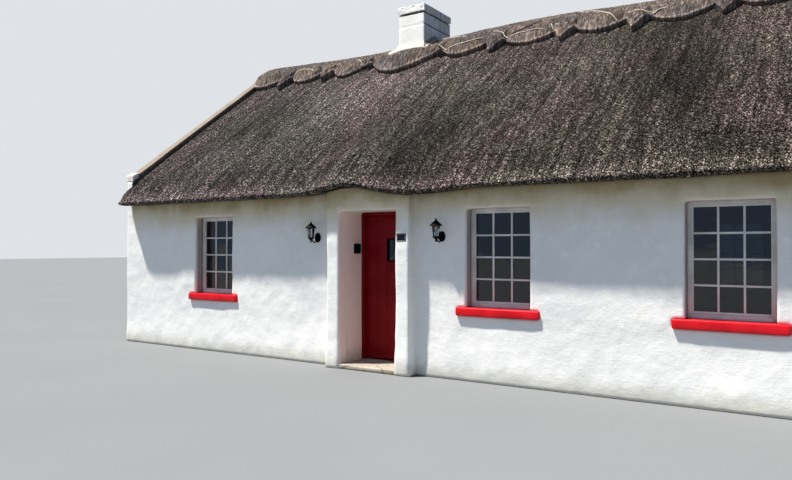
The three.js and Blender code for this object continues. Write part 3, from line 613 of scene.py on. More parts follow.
def new_piece(name, vertices, faces, material, slot, body="house", smooth=True):
    """A mesh object of the house or the door, with its material. Its finish slot is not used."""
    mesh = bpy.data.meshes.new(name)
    mesh.from_pydata(np.asarray(vertices, np.float32).reshape(-1, 3), [], faces)
    mesh.validate()
    if smooth:
        mesh.shade_smooth()
    else:
        mesh.shade_flat()
    mesh.materials.append(material)
    piece = bpy.data.objects.new(name, mesh)
    bpy.context.scene.collection.objects.link(piece)
    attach(piece, body)
    return piece


def set_attributes(piece, **values):
    """Stores flow, a vector, and other numbers on the piece's vertices, where its material reads them."""
    for name, value in values.items():
        kind, key = ("FLOAT_VECTOR", "vector") if name == "flow" else ("FLOAT", "value")
        attribute = piece.data.attributes.new(name, kind, "POINT")
        attribute.data.foreach_set(key, np.asarray(value, np.float32).ravel())


def ring_faces(rings, sides, closed=False):
    """Quads between neighbouring rings of points, and from the last ring to the first if closed."""
    i, j = np.meshgrid(np.arange(rings if closed else rings - 1), np.arange(sides), indexing="ij")
    near, far = i * sides, (i + 1) % rings * sides
    turn = (j + 1) % sides
    return np.stack([near + j, near + turn, far + turn, far + j], axis=-1).reshape(-1, 4)


def edit(piece, change):
    """Runs a change on the piece's mesh as a bmesh."""
    work = bmesh.new()
    work.from_mesh(piece.data)
    change(work)
    work.to_mesh(piece.data)
    work.free()


def unit(vectors):
    """The same directions, one metre long."""
    return vectors / (np.linalg.norm(vectors, axis=-1, keepdims=True) + 1e-9)


# Thatch

STRAW_ROOT = 0.3  # the share of a reed end's length that is inside the skin
STRAW_SPREAD = 0.35  # how much reed ends point sideways
STRAW_WIDTHS = (0.6, 1.3)
STRAW_RIDGE = 1.2  # how much they stand up in their middle
END_ROOM = 0.08  # how far they may reach past the thatch's ends, in front of the walls


def top_of(y):
    return THATCH_APEX - PITCH * np.abs(y)


def under_of(y):
    return UNDER_APEX - PITCH * np.abs(y)


def line(a, b, count):
    """Points of a straight line after its start."""
    t = np.linspace(0, 1, count + 1)[1:, None]
    return (1 - t) * np.array(a, float) + t * np.array(b, float)


def curve(a, control, b, count):
    """Points of a quadratic curve after its start."""
    t = np.linspace(0, 1, count + 1)[1:, None]
    a, control, b = (np.array(p, float) for p in (a, control, b))
    return (1 - t) ** 2 * a + 2 * t * (1 - t) * control + t * t * b


def slope_section(step):
    """The section of one slope in |y| and z, how rough each point may be, and its way down the slope."""
    tops = (0.0, COARSE_END_Y, EAVE_TOP_Y, EAVE_CONTROL_Y)
    apex, coarse_end, shoulder, control = ((y, top_of(y)) for y in tops)
    wall, lift_start, under_apex = ((y, under_of(y)) for y in (WALL_Y, LIFT_START_Y, 0.0))
    fine = int((EAVE_TOP_Y - COARSE_END_Y) * math.hypot(1, PITCH) / step)
    rounding, edge, under = (int(long / step) for long in EAVE_STEPS)
    parts = [
        (np.array([apex]), 0),
        (line(apex, coarse_end, 3), 0),
        (line(coarse_end, shoulder, fine), 1),
        (curve(shoulder, control, EAVE_OUT, rounding), 1),
        (curve(EAVE_OUT, (EAVE_OUT[0], EAVE_LOW[1]), EAVE_LOW, edge), 0.8),
        (line(EAVE_LOW, wall, under), 0.5),
        (line(wall, lift_start, 4), 0),
        (line(lift_start, under_apex, 5), 0),
    ]
    points = np.concatenate([p for p, _ in parts])
    rough = np.concatenate([np.full(len(p), float(r)) for p, r in parts])
    way = np.concatenate([[0], np.cumsum(np.hypot(*np.diff(points, axis=0).T))])
    return points, rough, way


def hump(x, y):
    """The roof's slight rise towards the middle of its ridge."""
    return HUMP * (1 - (x / HALF_LENGTH) ** 2) * np.maximum(0, 1 - np.abs(y) / EAVE_TOP_Y)


def swell(x, y):
    """The thatch's soft waves along the roof, which lean with the slope and fade out at the ridge."""
    y = np.abs(y)
    waves = 0
    for tall, long, lean, turn in SWELLS:
        waves = waves + tall * np.sin(2 * np.pi * (x + lean * y) / long + turn)
    calm = np.clip((y - CALM_START_Y) / (EAVE_LOW[0] - CALM_START_Y), 0, 1)
    return waves * np.clip(y, 0, 1) * (1 - CALM * calm)


def weathering_and_eave_light(x, y):
    """How pale the thatch is: weathered in broad clouds, streaks down the slope and a few patches, paler
    towards the ridge, and paler at the eave, where its cut reed ends are paler and painted light lifts
    its shaded underside.
    """
    down = np.abs(y)
    place = np.stack([x, down, np.where(y < 0, 0.0, 9.0)], axis=-1)
    cloud = layers(place, (0.8, 0.9, 1), 81, 3)
    streak = layers(place, (5.5, 0.7, 1), 84, 3)
    total = 0.87 + 0.13 * cloud + 0.3 * streak + 0.2 * smoothstep(2.2, 1.2, down)
    # painted light on the eave's shaded edge and underside, together with its paler cut reed ends
    total = total + 0.7 * smoothstep(3.5, 3.66, down)
    for px, py, wide, tall, much in WEATHERED:
        total = total + much * bell(x, px, wide) * bell(down, py, tall)
    return total


def outward(y, z):
    """The direction out of a skin, in y and z, at each point of its rows."""
    tangent_y, tangent_z = np.gradient(y, axis=1), np.gradient(z, axis=1)
    size = np.hypot(tangent_y, tangent_z) + 1e-9
    return -tangent_z / size, tangent_y / size


def slope_grid(side, step):
    """Points, outward normals, flow and roughness of a slope's skin, over columns and rows."""
    section, rough, way = slope_section(step)
    x = np.linspace(-THATCH_X, THATCH_X, int(2 * THATCH_X / step) + 1)[:, None]
    y = np.broadcast_to(section[:, 0], (len(x), len(section)))
    z = section[:, 1] + np.where(section[:, 1] > under_of(y) + 0.001, hump(x, y), 0)
    if side < 0:
        near_eave = np.clip((y - LIFT_START_Y) / (EAVE_TOP_Y - LIFT_START_Y), 0, 1)
        z += sum(tall * bell(x, at, wide) for tall, at, wide in PORCH_LIFTS) * near_eave
    x = np.broadcast_to(x, y.shape)
    out_y, out_z = outward(y, z)
    flow = np.stack([x, np.broadcast_to(way, y.shape), np.full(y.shape, side * 3.0)], axis=-1)
    broad = swell(x, y) + layers(flow, (1.7, 0.6, 1), 11, 2) * 0.004
    streak = layers(flow, (6.5, 1.2, 1), 21, 2) * 0.006
    tuft = noise(flow, (24, 9, 1), 31) * 0.003
    straws = (scatter_of(x.shape, 41 + side) - 0.6) * 0.004
    from_end = THATCH_X - np.abs(x)
    near_end = smoothstep(0, 0.12, from_end)
    lift = (broad * near_end - SINK_AT_END * (1 - near_end) + streak + tuft + straws) * rough
    lift = lift - np.where((y > 3.3) & (rough > 0), EAVE_INSET, 0)
    y_out = np.minimum(y + out_y * lift, EAVE_OUT[0])
    # in front of the gables the thatch spreads a little over their corners
    over = smoothstep(WALL_Y, WALL_Y + 0.04, y_out) * smoothstep(WALL_Y + 0.26, WALL_Y + 0.1, y_out)
    x_out = x + np.sign(x) * CORNER_SPREAD * over * smoothstep(0.5, 0, from_end)
    points = np.stack([x_out, side * y_out, z + out_z * lift], axis=-1)
    return points, np.stack([0 * x, side * out_y, out_z], axis=-1), flow, rough


def make_skin(name, node, points, look, **values):
    """A closed piece over columns and rows of points, with its attributes, that stands for a node."""
    columns, rows = points.shape[:2]
    piece = new_piece(name, points, ring_faces(columns, rows), *look)
    set_attributes(piece, **values)

    def close_ends(work):
        work.verts.ensure_lookup_table()
        caps = [work.faces.new(work.verts[:rows][::-1]), work.faces.new(work.verts[-rows:])]
        bmesh.ops.triangulate(work, faces=caps)
        bmesh.ops.recalc_face_normals(work, faces=work.faces)

    edit(piece, close_ends)
    piece.data.shade_smooth()
    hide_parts(node)


def make_slope(node, side, step):
    """One side of the thatch. Returns the skin that its stubble stands on."""
    skin = slope_grid(side, step)
    points, _, flow, _ = skin
    tone = 0.42 + 0.12 * scatter_of(points.shape[:2], 7)
    age = weathering_and_eave_light(points[..., 0], points[..., 1])
    make_skin(node + "_skin", node, points, (REED, "thatch"), flow=flow, tone=tone, age=age)
    return skin


def make_stubble(
    name, skin, count, seed, length, width, spread, rise=(0.25, 0.75), look=(REED, "thatch")
):
    """Thousands of short reed ends that stand out of a skin and point down its slope."""
    points, normals, flow, rough = skin
    use = np.flatnonzero(rough[:-1] > 0)
    rng = np.random.default_rng(seed)
    spans = np.linalg.norm(points[0, use + 1] - points[0, use], axis=1)
    r = rng.choice(use, count, p=spans / spans.sum())
    c = rng.integers(0, len(points) - 1, count)
    u, v = rng.random((2, count, 1))

    def blend(grid):
        near = grid[c, r] * (1 - u) + grid[c + 1, r] * u
        far = grid[c, r + 1] * (1 - u) + grid[c + 1, r + 1] * u
        return near * (1 - v) + far * v

    place = blend(points)
    normal = unit(blend(normals))
    down = unit(points[c, r + 1] - points[c, r])
    tilt = rng.uniform(*rise, (count, 1))
    way = unit(down + normal * tilt + np.cross(normal, down) * rng.normal(0, STRAW_SPREAD, (count, 1)))
    long = rng.uniform(*length, (count, 1))
    wide = width * rng.uniform(*STRAW_WIDTHS, (count, 1)) / 2
    lean = unit(np.cross(way, normal))
    up = np.cross(lean, way)
    base = place - way * long * STRAW_ROOT
    tip = place + way * long * (1 - STRAW_ROOT)
    top = base + up * wide * STRAW_RIDGE
    vertices = np.stack([base + lean * wide, base - lean * wide, top, tip], axis=1)
    vertices[..., 1] = np.clip(vertices[..., 1], -EAVE_OUT[0], EAVE_OUT[0])
    end = THATCH_X + END_ROOM * (np.abs(vertices[..., 1]) > WALL_Y + 0.02)
    vertices[..., 0] = np.clip(vertices[..., 0], -end, end)
    sides = np.array([[0, 2, 3], [2, 1, 3], [1, 0, 3], [0, 1, 2]])
    faces = (np.arange(count)[:, None, None] * 4 + sides).reshape(-1, 3)
    piece = new_piece(name, vertices, faces, *look, smooth=False)
    tone = np.clip(rng.normal(0.52, spread, count), 0, 1)
    values = {"flow": blend(flow), "tone": tone, "age": weathering_and_eave_light(place[:, 0], place[:, 1])}
    set_attributes(piece, **{key: np.repeat(value, 4, axis=0) for key, value in values.items()})


# Ridge roll


def scallop_spans():
    """Where each scallop starts and ends, its reach, and the tongue at its right."""
    start = -HALF_LENGTH
    for reach, tongue, half, tip in SCALLOPS:
        yield start, tongue - half, reach, tongue, half, tip
        start = tongue + half


def roll_edge(x):
    """How far down the slope the ridge roll reaches at x."""
    edge = [(-HALF_LENGTH, ROLL_END_Y)]
    for start, end, reach, tongue, half, tip in scallop_spans():
        corner = (end - start) / 5
        middle = ((start + end) / 2, reach)
        edge += list(curve((start, edge[-1][1]), (start + corner, reach), middle, 12))
        edge += list(curve(middle, (end - corner, reach), (end, NOTCH_Y if half else ROLL_END_Y), 12))
        if half:
            edge += [(tongue, tip), (tongue + half, NOTCH_Y)]
    return np.interp(x, *np.array(edge).T)


def pillow(x):
    """Each scallop swells in its middle and sinks to the notches beside the raised tongues."""
    total = np.zeros(np.shape(x))
    for start, end, _, tongue, half, _ in scallop_spans():
        t = np.clip((x - start) / (end - start), 0, 1)
        total = total + SCALLOP_SWELL * (1 - (2 * t - 1) ** 4) * ((x > start) & (x < end))
        if half:
            total = total + TONGUE_SWELL * np.maximum(0, 1 - np.abs(x - tongue) / half)
    return total


def belly(x):
    """How far back from its edge the roll starts to round down, which is less on the tongues."""
    tongues = [(tongue, half) for _, tongue, half, _ in SCALLOPS if half]
    near = sum(smoothstep(half + 0.02, half - 0.04, np.abs(x - tongue)) for tongue, half in tongues)
    return BELLY + (TONGUE_BELLY - BELLY) * near


def roll_top(x, y):
    """The roll's height before it rounds down: its fall, wave, bank at the stack, drop and scallops."""
    down = np.abs(y)
    fall = sum(np.interp(down + d, ROLL_FALL_Y, ROLL_FALL_Z) for d in (-0.05, -0.02, 0.02, 0.05)) / 4
    tall, long, start = CREST_WAVE
    wave = tall * np.cos(2 * np.pi * (x - start) / long) * np.maximum(0, 1 - down / 0.6)
    stack = ends("chimney_stack")
    bank = STACK_BANK * bell(x, (stack[0] + stack[1]) / 2, 0.52) * smoothstep(0.2, 0.62, down)
    drop_long, drop = ROLL_END_DROP
    end = np.maximum(0, (np.abs(x) - HALF_LENGTH + drop_long) / drop_long)
    return CREST - fall + (wave + bank - drop * end**2) + pillow(x) * smoothstep(0.12, 0.45, down)


def ground_of(x, y):
    return top_of(y) + hump(x, y) + swell(x, y)


def roll_surface(x, y, edge=None):
    """The roll's height with its belly down to the lip, and how near each point is to the edge."""
    if edge is None:
        edge = roll_edge(x)
    ground = ground_of(x, y)
    near_edge = np.clip((y - edge) / belly(x) + 1, 0, 1)
    return ground + LIP + (roll_top(x, y) - ground - LIP) * (1 - near_edge**2), near_edge


def half_roll(x, side):
    """One side of the roll, from the crest out over its rounded lip and back under: y, z and how much
    painted light brightens it.
    """
    rows = CREST_ROWS
    along = np.stack([x, 0 * x, 0 * x + side], axis=-1)
    wobble = noise(along, (5, 1, 1), 61) * 0.016 + noise(along, (21, 1, 1), 62) * 0.010
    on_gable = np.abs(x) > THATCH_X - 0.02
    edge = np.where(on_gable, np.minimum(roll_edge(x), COPING_END_Y - 0.006), roll_edge(x) + wobble)
    x, edge = x[:, None], edge[:, None]
    r = LIP / 2
    y = (edge - r) * np.linspace(0, 1, rows)[None, :] ** 0.9
    z, near_edge = roll_surface(x, y, edge)
    turn = np.radians(np.linspace(70, -70, len(LIP_LIT)))[None, :]
    y_lip, z_lip = edge - r + r * np.cos(turn), z[:, -1:] - r + r * np.sin(turn)
    under = np.linspace(0, 1, 4)[None, 1:]
    back, deep = UNDER_LIP
    y_under = y_lip[:, -1:] - back * under
    z_under = z_lip[:, -1:] * (1 - under) + (ground_of(x, y_under) - deep) * under
    y = np.concatenate([y, y_lip, y_under], axis=1) * side
    z = np.concatenate([z, z_lip, z_under], axis=1)
    lit = np.ones(y.shape)
    # painted light: the belly is brightened towards the lip, and the shaded lip more
    lit[:, :rows] += 0.3 * near_edge**1.5
    lit[:, rows : rows + len(LIP_LIT)] = LIP_LIT
    return y, z, lit


def make_ridge(step):
    """The scalloped roll of combed straw along the ridge. Returns the skin that its straws stand on."""
    x = np.linspace(-HALF_LENGTH, HALF_LENGTH, int(2 * HALF_LENGTH / step) + 1)
    halves = zip(half_roll(x, -1), half_roll(x, 1))
    y, z, lit = (np.concatenate([front[:, :0:-1], back], axis=1) for front, back in halves)
    x = np.broadcast_to(x[:, None], y.shape)
    place = np.stack([x, y, z], axis=-1)
    normal = np.stack([0 * x, *outward(y, z)], axis=-1)
    flow = np.stack([x, np.abs(y) * 1.25, np.where(y < 0, -7.0, 7.0)], axis=-1)
    lump = layers(place, (3.2, 5, 5), 71, 2) * 0.010
    strand = layers(flow, (30, 7, 1), 72, 2) * 0.003
    draw = (scatter_of(x.shape, 73) - 0.5) * 0.004
    lift = lump * smoothstep(0, 0.1, HALF_LENGTH - np.abs(x)) + strand + draw
    points = place + normal * lift[..., None]
    # the tone carries random tone and the painted light on the lip and belly
    tone = (0.5 + draw * 12) * lit
    make_skin("thatch_ridge_roll", "thatch_ridge", points, (RIDGE_STRAW, "ridge"), flow=flow, tone=tone)
    # straws stand on it down to the middle of its lip
    rows = y.shape[1]
    from_crest = np.abs(np.arange(rows) - rows // 2)
    return points, normal, flow, (from_crest < CREST_ROWS + 5).astype(float)


def smooth_path(way, t, values):
    """Values along a path, without kinks at its given points."""
    spread = np.linspace(-0.08, 0.08, 5)
    return sum(np.interp(np.clip(way + d, 0, 1), t, values) for d in spread) / len(spread)


# Plaster, stone and paint shaped from the frame's own solids


def apply_modifiers(piece):
    """Makes what the modifiers do the piece's own mesh."""
    graph = bpy.context.evaluated_depsgraph_get()
    mesh = bpy.data.meshes.new_from_object(piece.evaluated_get(graph))
    old = piece.data
    piece.modifiers.clear()
    piece.data = mesh
    bpy.data.meshes.remove(old)


def joined_copy(names, label):
    """One object with the faces of several CAD nodes."""
    piece = bpy.data.objects.new(label, bpy.data.meshes.new(label))
    bpy.context.scene.collection.objects.link(piece)

    def change(work):
        for name in names:
            work.from_mesh(nodes[name].data)
        bmesh.ops.remove_doubles(work, verts=work.verts, dist=0.0002)

    edit(piece, change)
    return piece


def read_vectors(source, key):
    flat = np.empty(len(source) * 3, np.float32)
    source.foreach_get(key, flat)
    return flat.reshape(-1, 3).astype(float)


def move_vertices(piece, place):
    piece.data.vertices.foreach_set("co", place.astype(np.float32).ravel())
    piece.data.update()


def remesh(piece, voxel):
    """Gives the piece one even, slightly softened mesh, and returns its points and normals."""
    modifier = piece.modifiers.new("remesh", "REMESH")
    modifier.mode = "VOXEL"
    modifier.voxel_size = voxel
    piece.modifiers.new("smooth", "SMOOTH")
    apply_modifiers(piece)
    return read_vectors(piece.data.vertices, "co"), read_vectors(piece.data.vertex_normals, "vector")


def keep_side(piece, y, side):
    """Cuts the piece at y, keeps the part towards that side and closes the cut."""

    def change(work):
        everything = work.verts[:] + work.edges[:] + work.faces[:]
        plane = {"plane_co": (0, y, 0), "plane_no": (0, side, 0)}
        cut = bmesh.ops.bisect_plane(work, geom=everything, clear_inner=True, **plane)
        rim = [edge for edge in cut["geom_cut"] if isinstance(edge, bmesh.types.BMEdge)]
        bmesh.ops.holes_fill(work, edges=rim)

    edit(piece, change)


def settle(piece, names, material, slot, ratio):
    """Thins the mesh and makes it the house's piece that stands for those nodes."""
    piece.modifiers.new("thin", "DECIMATE").ratio = ratio
    apply_modifiers(piece)
    piece.data.shade_smooth()
    piece.data.materials.clear()
    piece.data.materials.append(material)
    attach(piece, "house")
    if names:
        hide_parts(*names)


def sharpen_cut(piece, y):
    """Keeps the shading beside a cut from bending round its edge."""
    mesh = piece.data
    near = np.abs(read_vectors(mesh.vertices, "co")[:, 1] - y) < 0.003
    edges = np.empty(len(mesh.edges) * 2, np.int32)
    mesh.edges.foreach_get("vertices", edges)
    mesh.edges.foreach_set("use_edge_sharp", near[edges.reshape(-1, 2)].all(axis=1))
    mesh.update()


def make_walls():
    """Lumpy plaster over the wall nodes: a fine front part and the rest, which meet in the gables."""
    names = sorted(n for n in nodes if n.startswith(("front_wall", "gable_wall", "back_wall", "porch_")))
    for label, side, voxel, ratio in WALL_PARTS:
        part = joined_copy(names, label)
        keep_side(part, WALLS_MEET_Y - side * WALL_SPARE, side)
        place, normal = remesh(part, voxel)
        at_side = np.abs(place[:, 0]) > HALF_LENGTH - ON_FACE
        # both parts start from the same flat gables, so that they meet without a step
        flat = at_side & (np.abs(normal[:, 0]) > 0.9)
        place[flat, 0] = np.sign(place[flat, 0]) * HALF_LENGTH
        normal[flat] = np.sign(place[flat, :1]) * (1, 0, 0)
        outside = (np.abs(place[:, 1]) > WALL_Y - ON_FACE) | at_side
        broad, small = WALL_LUMPS
        lump = layers(place, 1.4, 201, 3) * broad + layers(place, 6, 211, 2) * small
        lift = np.where(outside, lump, lump * INSIDE_LUMP)
        lift = lift + np.where(outside, smoothstep(FOOT_TOP, 0.0, place[:, 2]) * FOOT_SPREAD, 0)
        lift = np.where(at_side, np.minimum(lift, GABLE_LUMP_MOST), lift)
        place += normal * lift[:, None]
        place[:, 2] = np.maximum(place[:, 2], 0)
        move_vertices(part, place)
        keep_side(part, WALLS_MEET_Y, side)
        settle(part, names if side < 0 else (), LIMEWASH, "limewash", ratio)
        sharpen_cut(part, WALLS_MEET_Y)


def sculpt(node, label, voxel, look, ratio, shape):
    """A remeshed copy of a node, with its points where shape puts them, that stands for it."""
    piece = joined_copy([node], label)
    move_vertices(piece, shape(*remesh(piece, voxel)))
    settle(piece, [node], *look, ratio)


def shape_stack(place, normal):
    """Rough blocks with one level joint and an upright one above and below it."""
    x0, x1, y0, y1, _, top = ends("chimney_stack")
    course = top - COURSE
    low, high = np.array([x0, y0]) + 0.03, np.array([x1, y1]) - 0.03
    outer = ((place[:, :2] < low) | (place[:, :2] > high)).any(axis=1)
    on_side = np.abs(normal[:, 0]) > 0.5
    joint = bell(place[:, 2], course, 0.009) * np.where(on_side, 1, 0.3)
    upright = np.where(place[:, 2] > course, y0 + UPPER_JOINT, y0 + LOWER_JOINT)
    joint = np.maximum(joint, bell(place[:, 1], upright, 0.008) * on_side)
    lift = layers(place, 5, 301, 3) * 0.004 - 0.003 - joint * 0.011 * outer
    return place + normal * np.where(outer, lift, lift * 0.4)[:, None]


def shape_cap(place, normal):
    """A rough, chipped course with one joint and an uneven underside."""
    rough = layers(place, (9, 9, 14), 311, 3)
    chip = smoothstep(0.5, 0.85, noise(place, 23, 315)) * 0.007
    joint_y = ends("chimney_stack")[2] + LOWER_JOINT
    joint = bell(place[:, 1], joint_y, 0.009) * (np.abs(normal[:, 0]) > 0.5)
    place += normal * (rough * 0.005 - 0.006 - chip - joint * 0.01)[:, None]
    uneven = place[:, 2] + 0.006 * noise(place, 8, 316) + 0.004
    place[:, 2] = np.where(place[:, 2] < ends("chimney_cap")[4] + 0.03, uneven, place[:, 2])
    return place


def shape_coping(place, normal, seed):
    """Rough slabs with joints between them, each tipped a little its own way."""
    way = np.abs(place[:, 1])
    joints = sum(bell(way, y, 0.005) for y in COPING_JOINTS)
    slab = np.digitize(way, COPING_JOINTS)
    tip = (lattice(slab, slab * 0, slab * 0 + seed, 331) - 0.5) * 0.008
    lump = layers(place, (5, 5, 5), 332, 3) * 0.006 - 0.006
    lift = np.minimum(lump - joints * 0.012 + tip * (np.abs(normal[:, 2]) > 0.5), 0.002)
    return place + normal * lift[:, None]


def make_chimney():
    """The chimney's blocks and the course of its cap."""
    look = (LIMEWASH_CHIMNEY, "limewash")
    sculpt("chimney_stack", "chimney_blocks", 0.017, look, 0.22, shape_stack)
    sculpt("chimney_cap", "chimney_cap_course", 0.011, look, 0.5, shape_cap)


def make_copings():
    """The slabs of the four gable copings."""
    for side in ("left", "right"):
        for face in ("front", "back"):
            name = f"coping_{side}_{face}"
            seeded = functools.partial(shape_coping, seed=len(name))
            sculpt(name, name + "_stones", 0.016, (COPING_STONE, "coping"), 0.4, seeded)


def make_flare(side=60, thick=0.035):
    """The cement flare that bridges the chimney's foot and the ridge roll, hollowed like a cove."""
    x0, x1, y0, y1, _, _ = ends("chimney_stack")
    left, front, right, back = (out * way for out, way in zip(FLARE_OUT, (-1, -1, 1, 1)))
    left, front, right, back = x0 + left, y0 + front, x1 + right, y1 + back
    corners = [(left, back), (left, front), (right, front), (right, back)]
    outline = np.concatenate([line(a, b, side) for a, b in zip(corners, corners[1:] + corners[:1])])
    tall = np.repeat(FLARE_TALL, side)
    blur = range(-3, 4)
    outline = sum(np.roll(outline, shift, axis=0) for shift in blur) / len(blur)
    tall = sum(np.roll(tall, shift) for shift in blur) / len(blur)
    inner = np.clip(outline, (x0 + 0.01, y0 + 0.01), (x1 - 0.01, y1 - 0.01))
    foot = roll_surface(outline[:, 0], np.abs(outline[:, 1]))[0] + 0.02
    rings = []
    for t in np.linspace(0, 1, 14):
        rings.append(np.column_stack([inner + (outline - inner) * t, foot + tall * (1 - t) ** 2]))
    rings += [np.column_stack([flat, foot - thick]) for flat in (outline, inner)]
    place = np.stack(rings)
    place = place + layers(place, 9, 321, 3)[..., None] * np.array([0.003, 0.003, 0.005])
    faces = ring_faces(*place.shape[:2], closed=True)
    piece = new_piece("chimney_flare", place, faces, CEMENT, "limewash")
    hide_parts("chimney_apron")


# Blocks, bars and turned parts


class Parts:
    """Soft-edged blocks, tubes and turned shapes that together make one piece."""

    def __init__(self):
        self.vertices = []
        self.faces = []
        self.count = 0

    def add(self, vertices, faces):
        """Adds a shape and returns its points, which may still be moved."""
        self.vertices.append(np.asarray(vertices, float))
        self.faces += [tuple(i + self.count for i in face) for face in faces]
        self.count += len(vertices)
        return self.vertices[-1]

    def block(self, x0, x1, y0, y1, z0, z1, soft=0.004, step=10.0):
        """A block with rounded edges, cut finely enough to be bent afterwards."""
        low, high = np.array([x0, y0, z0]), np.array([x1, y1, z1])
        soft = min(soft, float((high - low).min()) * 0.45)
        lines = []
        for a, b in zip(low, high):
            inner = np.linspace(a + soft, b - soft, max(2, int(round((b - a - 2 * soft) / step)) + 1))
            lines.append(np.concatenate([[a, a + soft * 0.4], inner, [b - soft * 0.4, b]]))
        index, faces = {}, []
        counts = [len(each) - 1 for each in lines]
        for axis in range(3):
            u, v = (axis + 1) % 3, (axis + 2) % 3
            for end, a, b in np.ndindex(2, counts[u], counts[v]):
                at = end * counts[axis]
                corners = []
                for da, db in ((0, 0), (1, 0), (1, 1), (0, 1)):
                    key = [0, 0, 0]
                    key[axis], key[u], key[v] = at, a + da, b + db
                    corners.append(index.setdefault(tuple(key), len(index)))
                faces.append(corners if at else corners[::-1])
        place = np.array([[lines[axis][key[axis]] for axis in range(3)] for key in index])
        inner = np.clip(place, low + soft, high - soft)
        away = place - inner
        size = np.linalg.norm(away, axis=1)[:, None]
        return self.add(np.where(size > 1e-9, inner + away / np.maximum(size, 1e-9) * soft, place), faces)

    def skin(self, rings):
        """Joins a row of rings of points and closes both ends."""
        count, sides = len(rings), len(rings[0])
        first, last = range(sides), range((count - 1) * sides, count * sides)
        return self.add(np.concatenate(rings), [*ring_faces(count, sides).tolist(), first[::-1], last])

    def lathe(self, profile, centre, sides=24, squash=(1, 1), along=(0, 0, 1)):
        """A turned shape: profile is radius and distance from the centre along its axis."""
        angles = np.linspace(0, 2 * np.pi, sides, endpoint=False)
        turn = np.array(Vector(along).to_track_quat("Z", "Y").to_matrix()).T
        rings = []
        for radius, z in profile:
            x, y = radius * np.cos(angles) * squash[0], radius * np.sin(angles) * squash[1]
            rings.append(np.stack([x, y, np.full(sides, z)], axis=1) @ turn + np.array(centre))
        return self.skin(rings)

    def tube(self, points, radius, sides=8, taper=None):
        """A round bar along points, closed at both ends."""
        points = np.asarray(points, float)
        way = np.gradient(points, axis=0)
        way /= np.linalg.norm(way, axis=1)[:, None]
        guide = np.array([0.0, 0.0, 1.0]) if abs(way[0][2]) < 0.9 else np.array([1.0, 0.0, 0.0])
        angles = np.linspace(0, 2 * np.pi, sides, endpoint=False)[:, None]
        rings = []
        for i, (point, along) in enumerate(zip(points, way)):
            side = np.cross(along, guide)
            side /= np.linalg.norm(side)
            guide = np.cross(side, along)
            r = radius * (taper[i] if taper is not None else 1)
            rings.append(point + r * (np.cos(angles) * side + np.sin(angles) * guide))
        return self.skin(rings)

    def piece(self, name, material, slot, body="house", bend=None, sharp=40, stands_for=None):
        """The piece, smooth but for edges sharper than that angle."""
        place = np.concatenate(self.vertices)
        if bend is not None:
            place = bend(place)
        made = new_piece(name, place, self.faces, material, slot, body)
        edit(made, lambda work: bmesh.ops.recalc_face_normals(work, faces=work.faces))
        made.data.shade_smooth()
        made.data.set_sharp_from_angle(angle=math.radians(sharp))
        if stands_for:
            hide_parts(stands_for)


# The house's pieces


def make_rods(name, material, rods, radius):
    """Hazel rods that hold the ridge down, each bent along the roll, on both sides of the roof."""
    wood = Parts()
    way = np.linspace(0, 1, 40)
    for side in (-1, 1):
        for number, rod in enumerate(rods):
            t = np.linspace(0, 1, len(rod))
            x, y = (smooth_path(way, t, values) for values in np.array(rod).T)
            if side > 0:
                x = x + 0.17 * (-1) ** number
            inside = y < roll_edge(x) - 0.03
            x, y = x[inside], y[inside]
            z = roll_surface(x, y)[0] + radius * 0.5
            y = y + 0.006 * noise(np.stack([x, y, z * 0 + number], axis=-1), (9, 9, 1), 91)
            taper = 0.75 + 0.3 * np.sin(np.linspace(0.3, np.pi, len(x)))
            wood.tube(np.stack([x, side * y, z], axis=1), radius, 7, taper)
    wood.piece(name, material, "ridge", sharp=80)


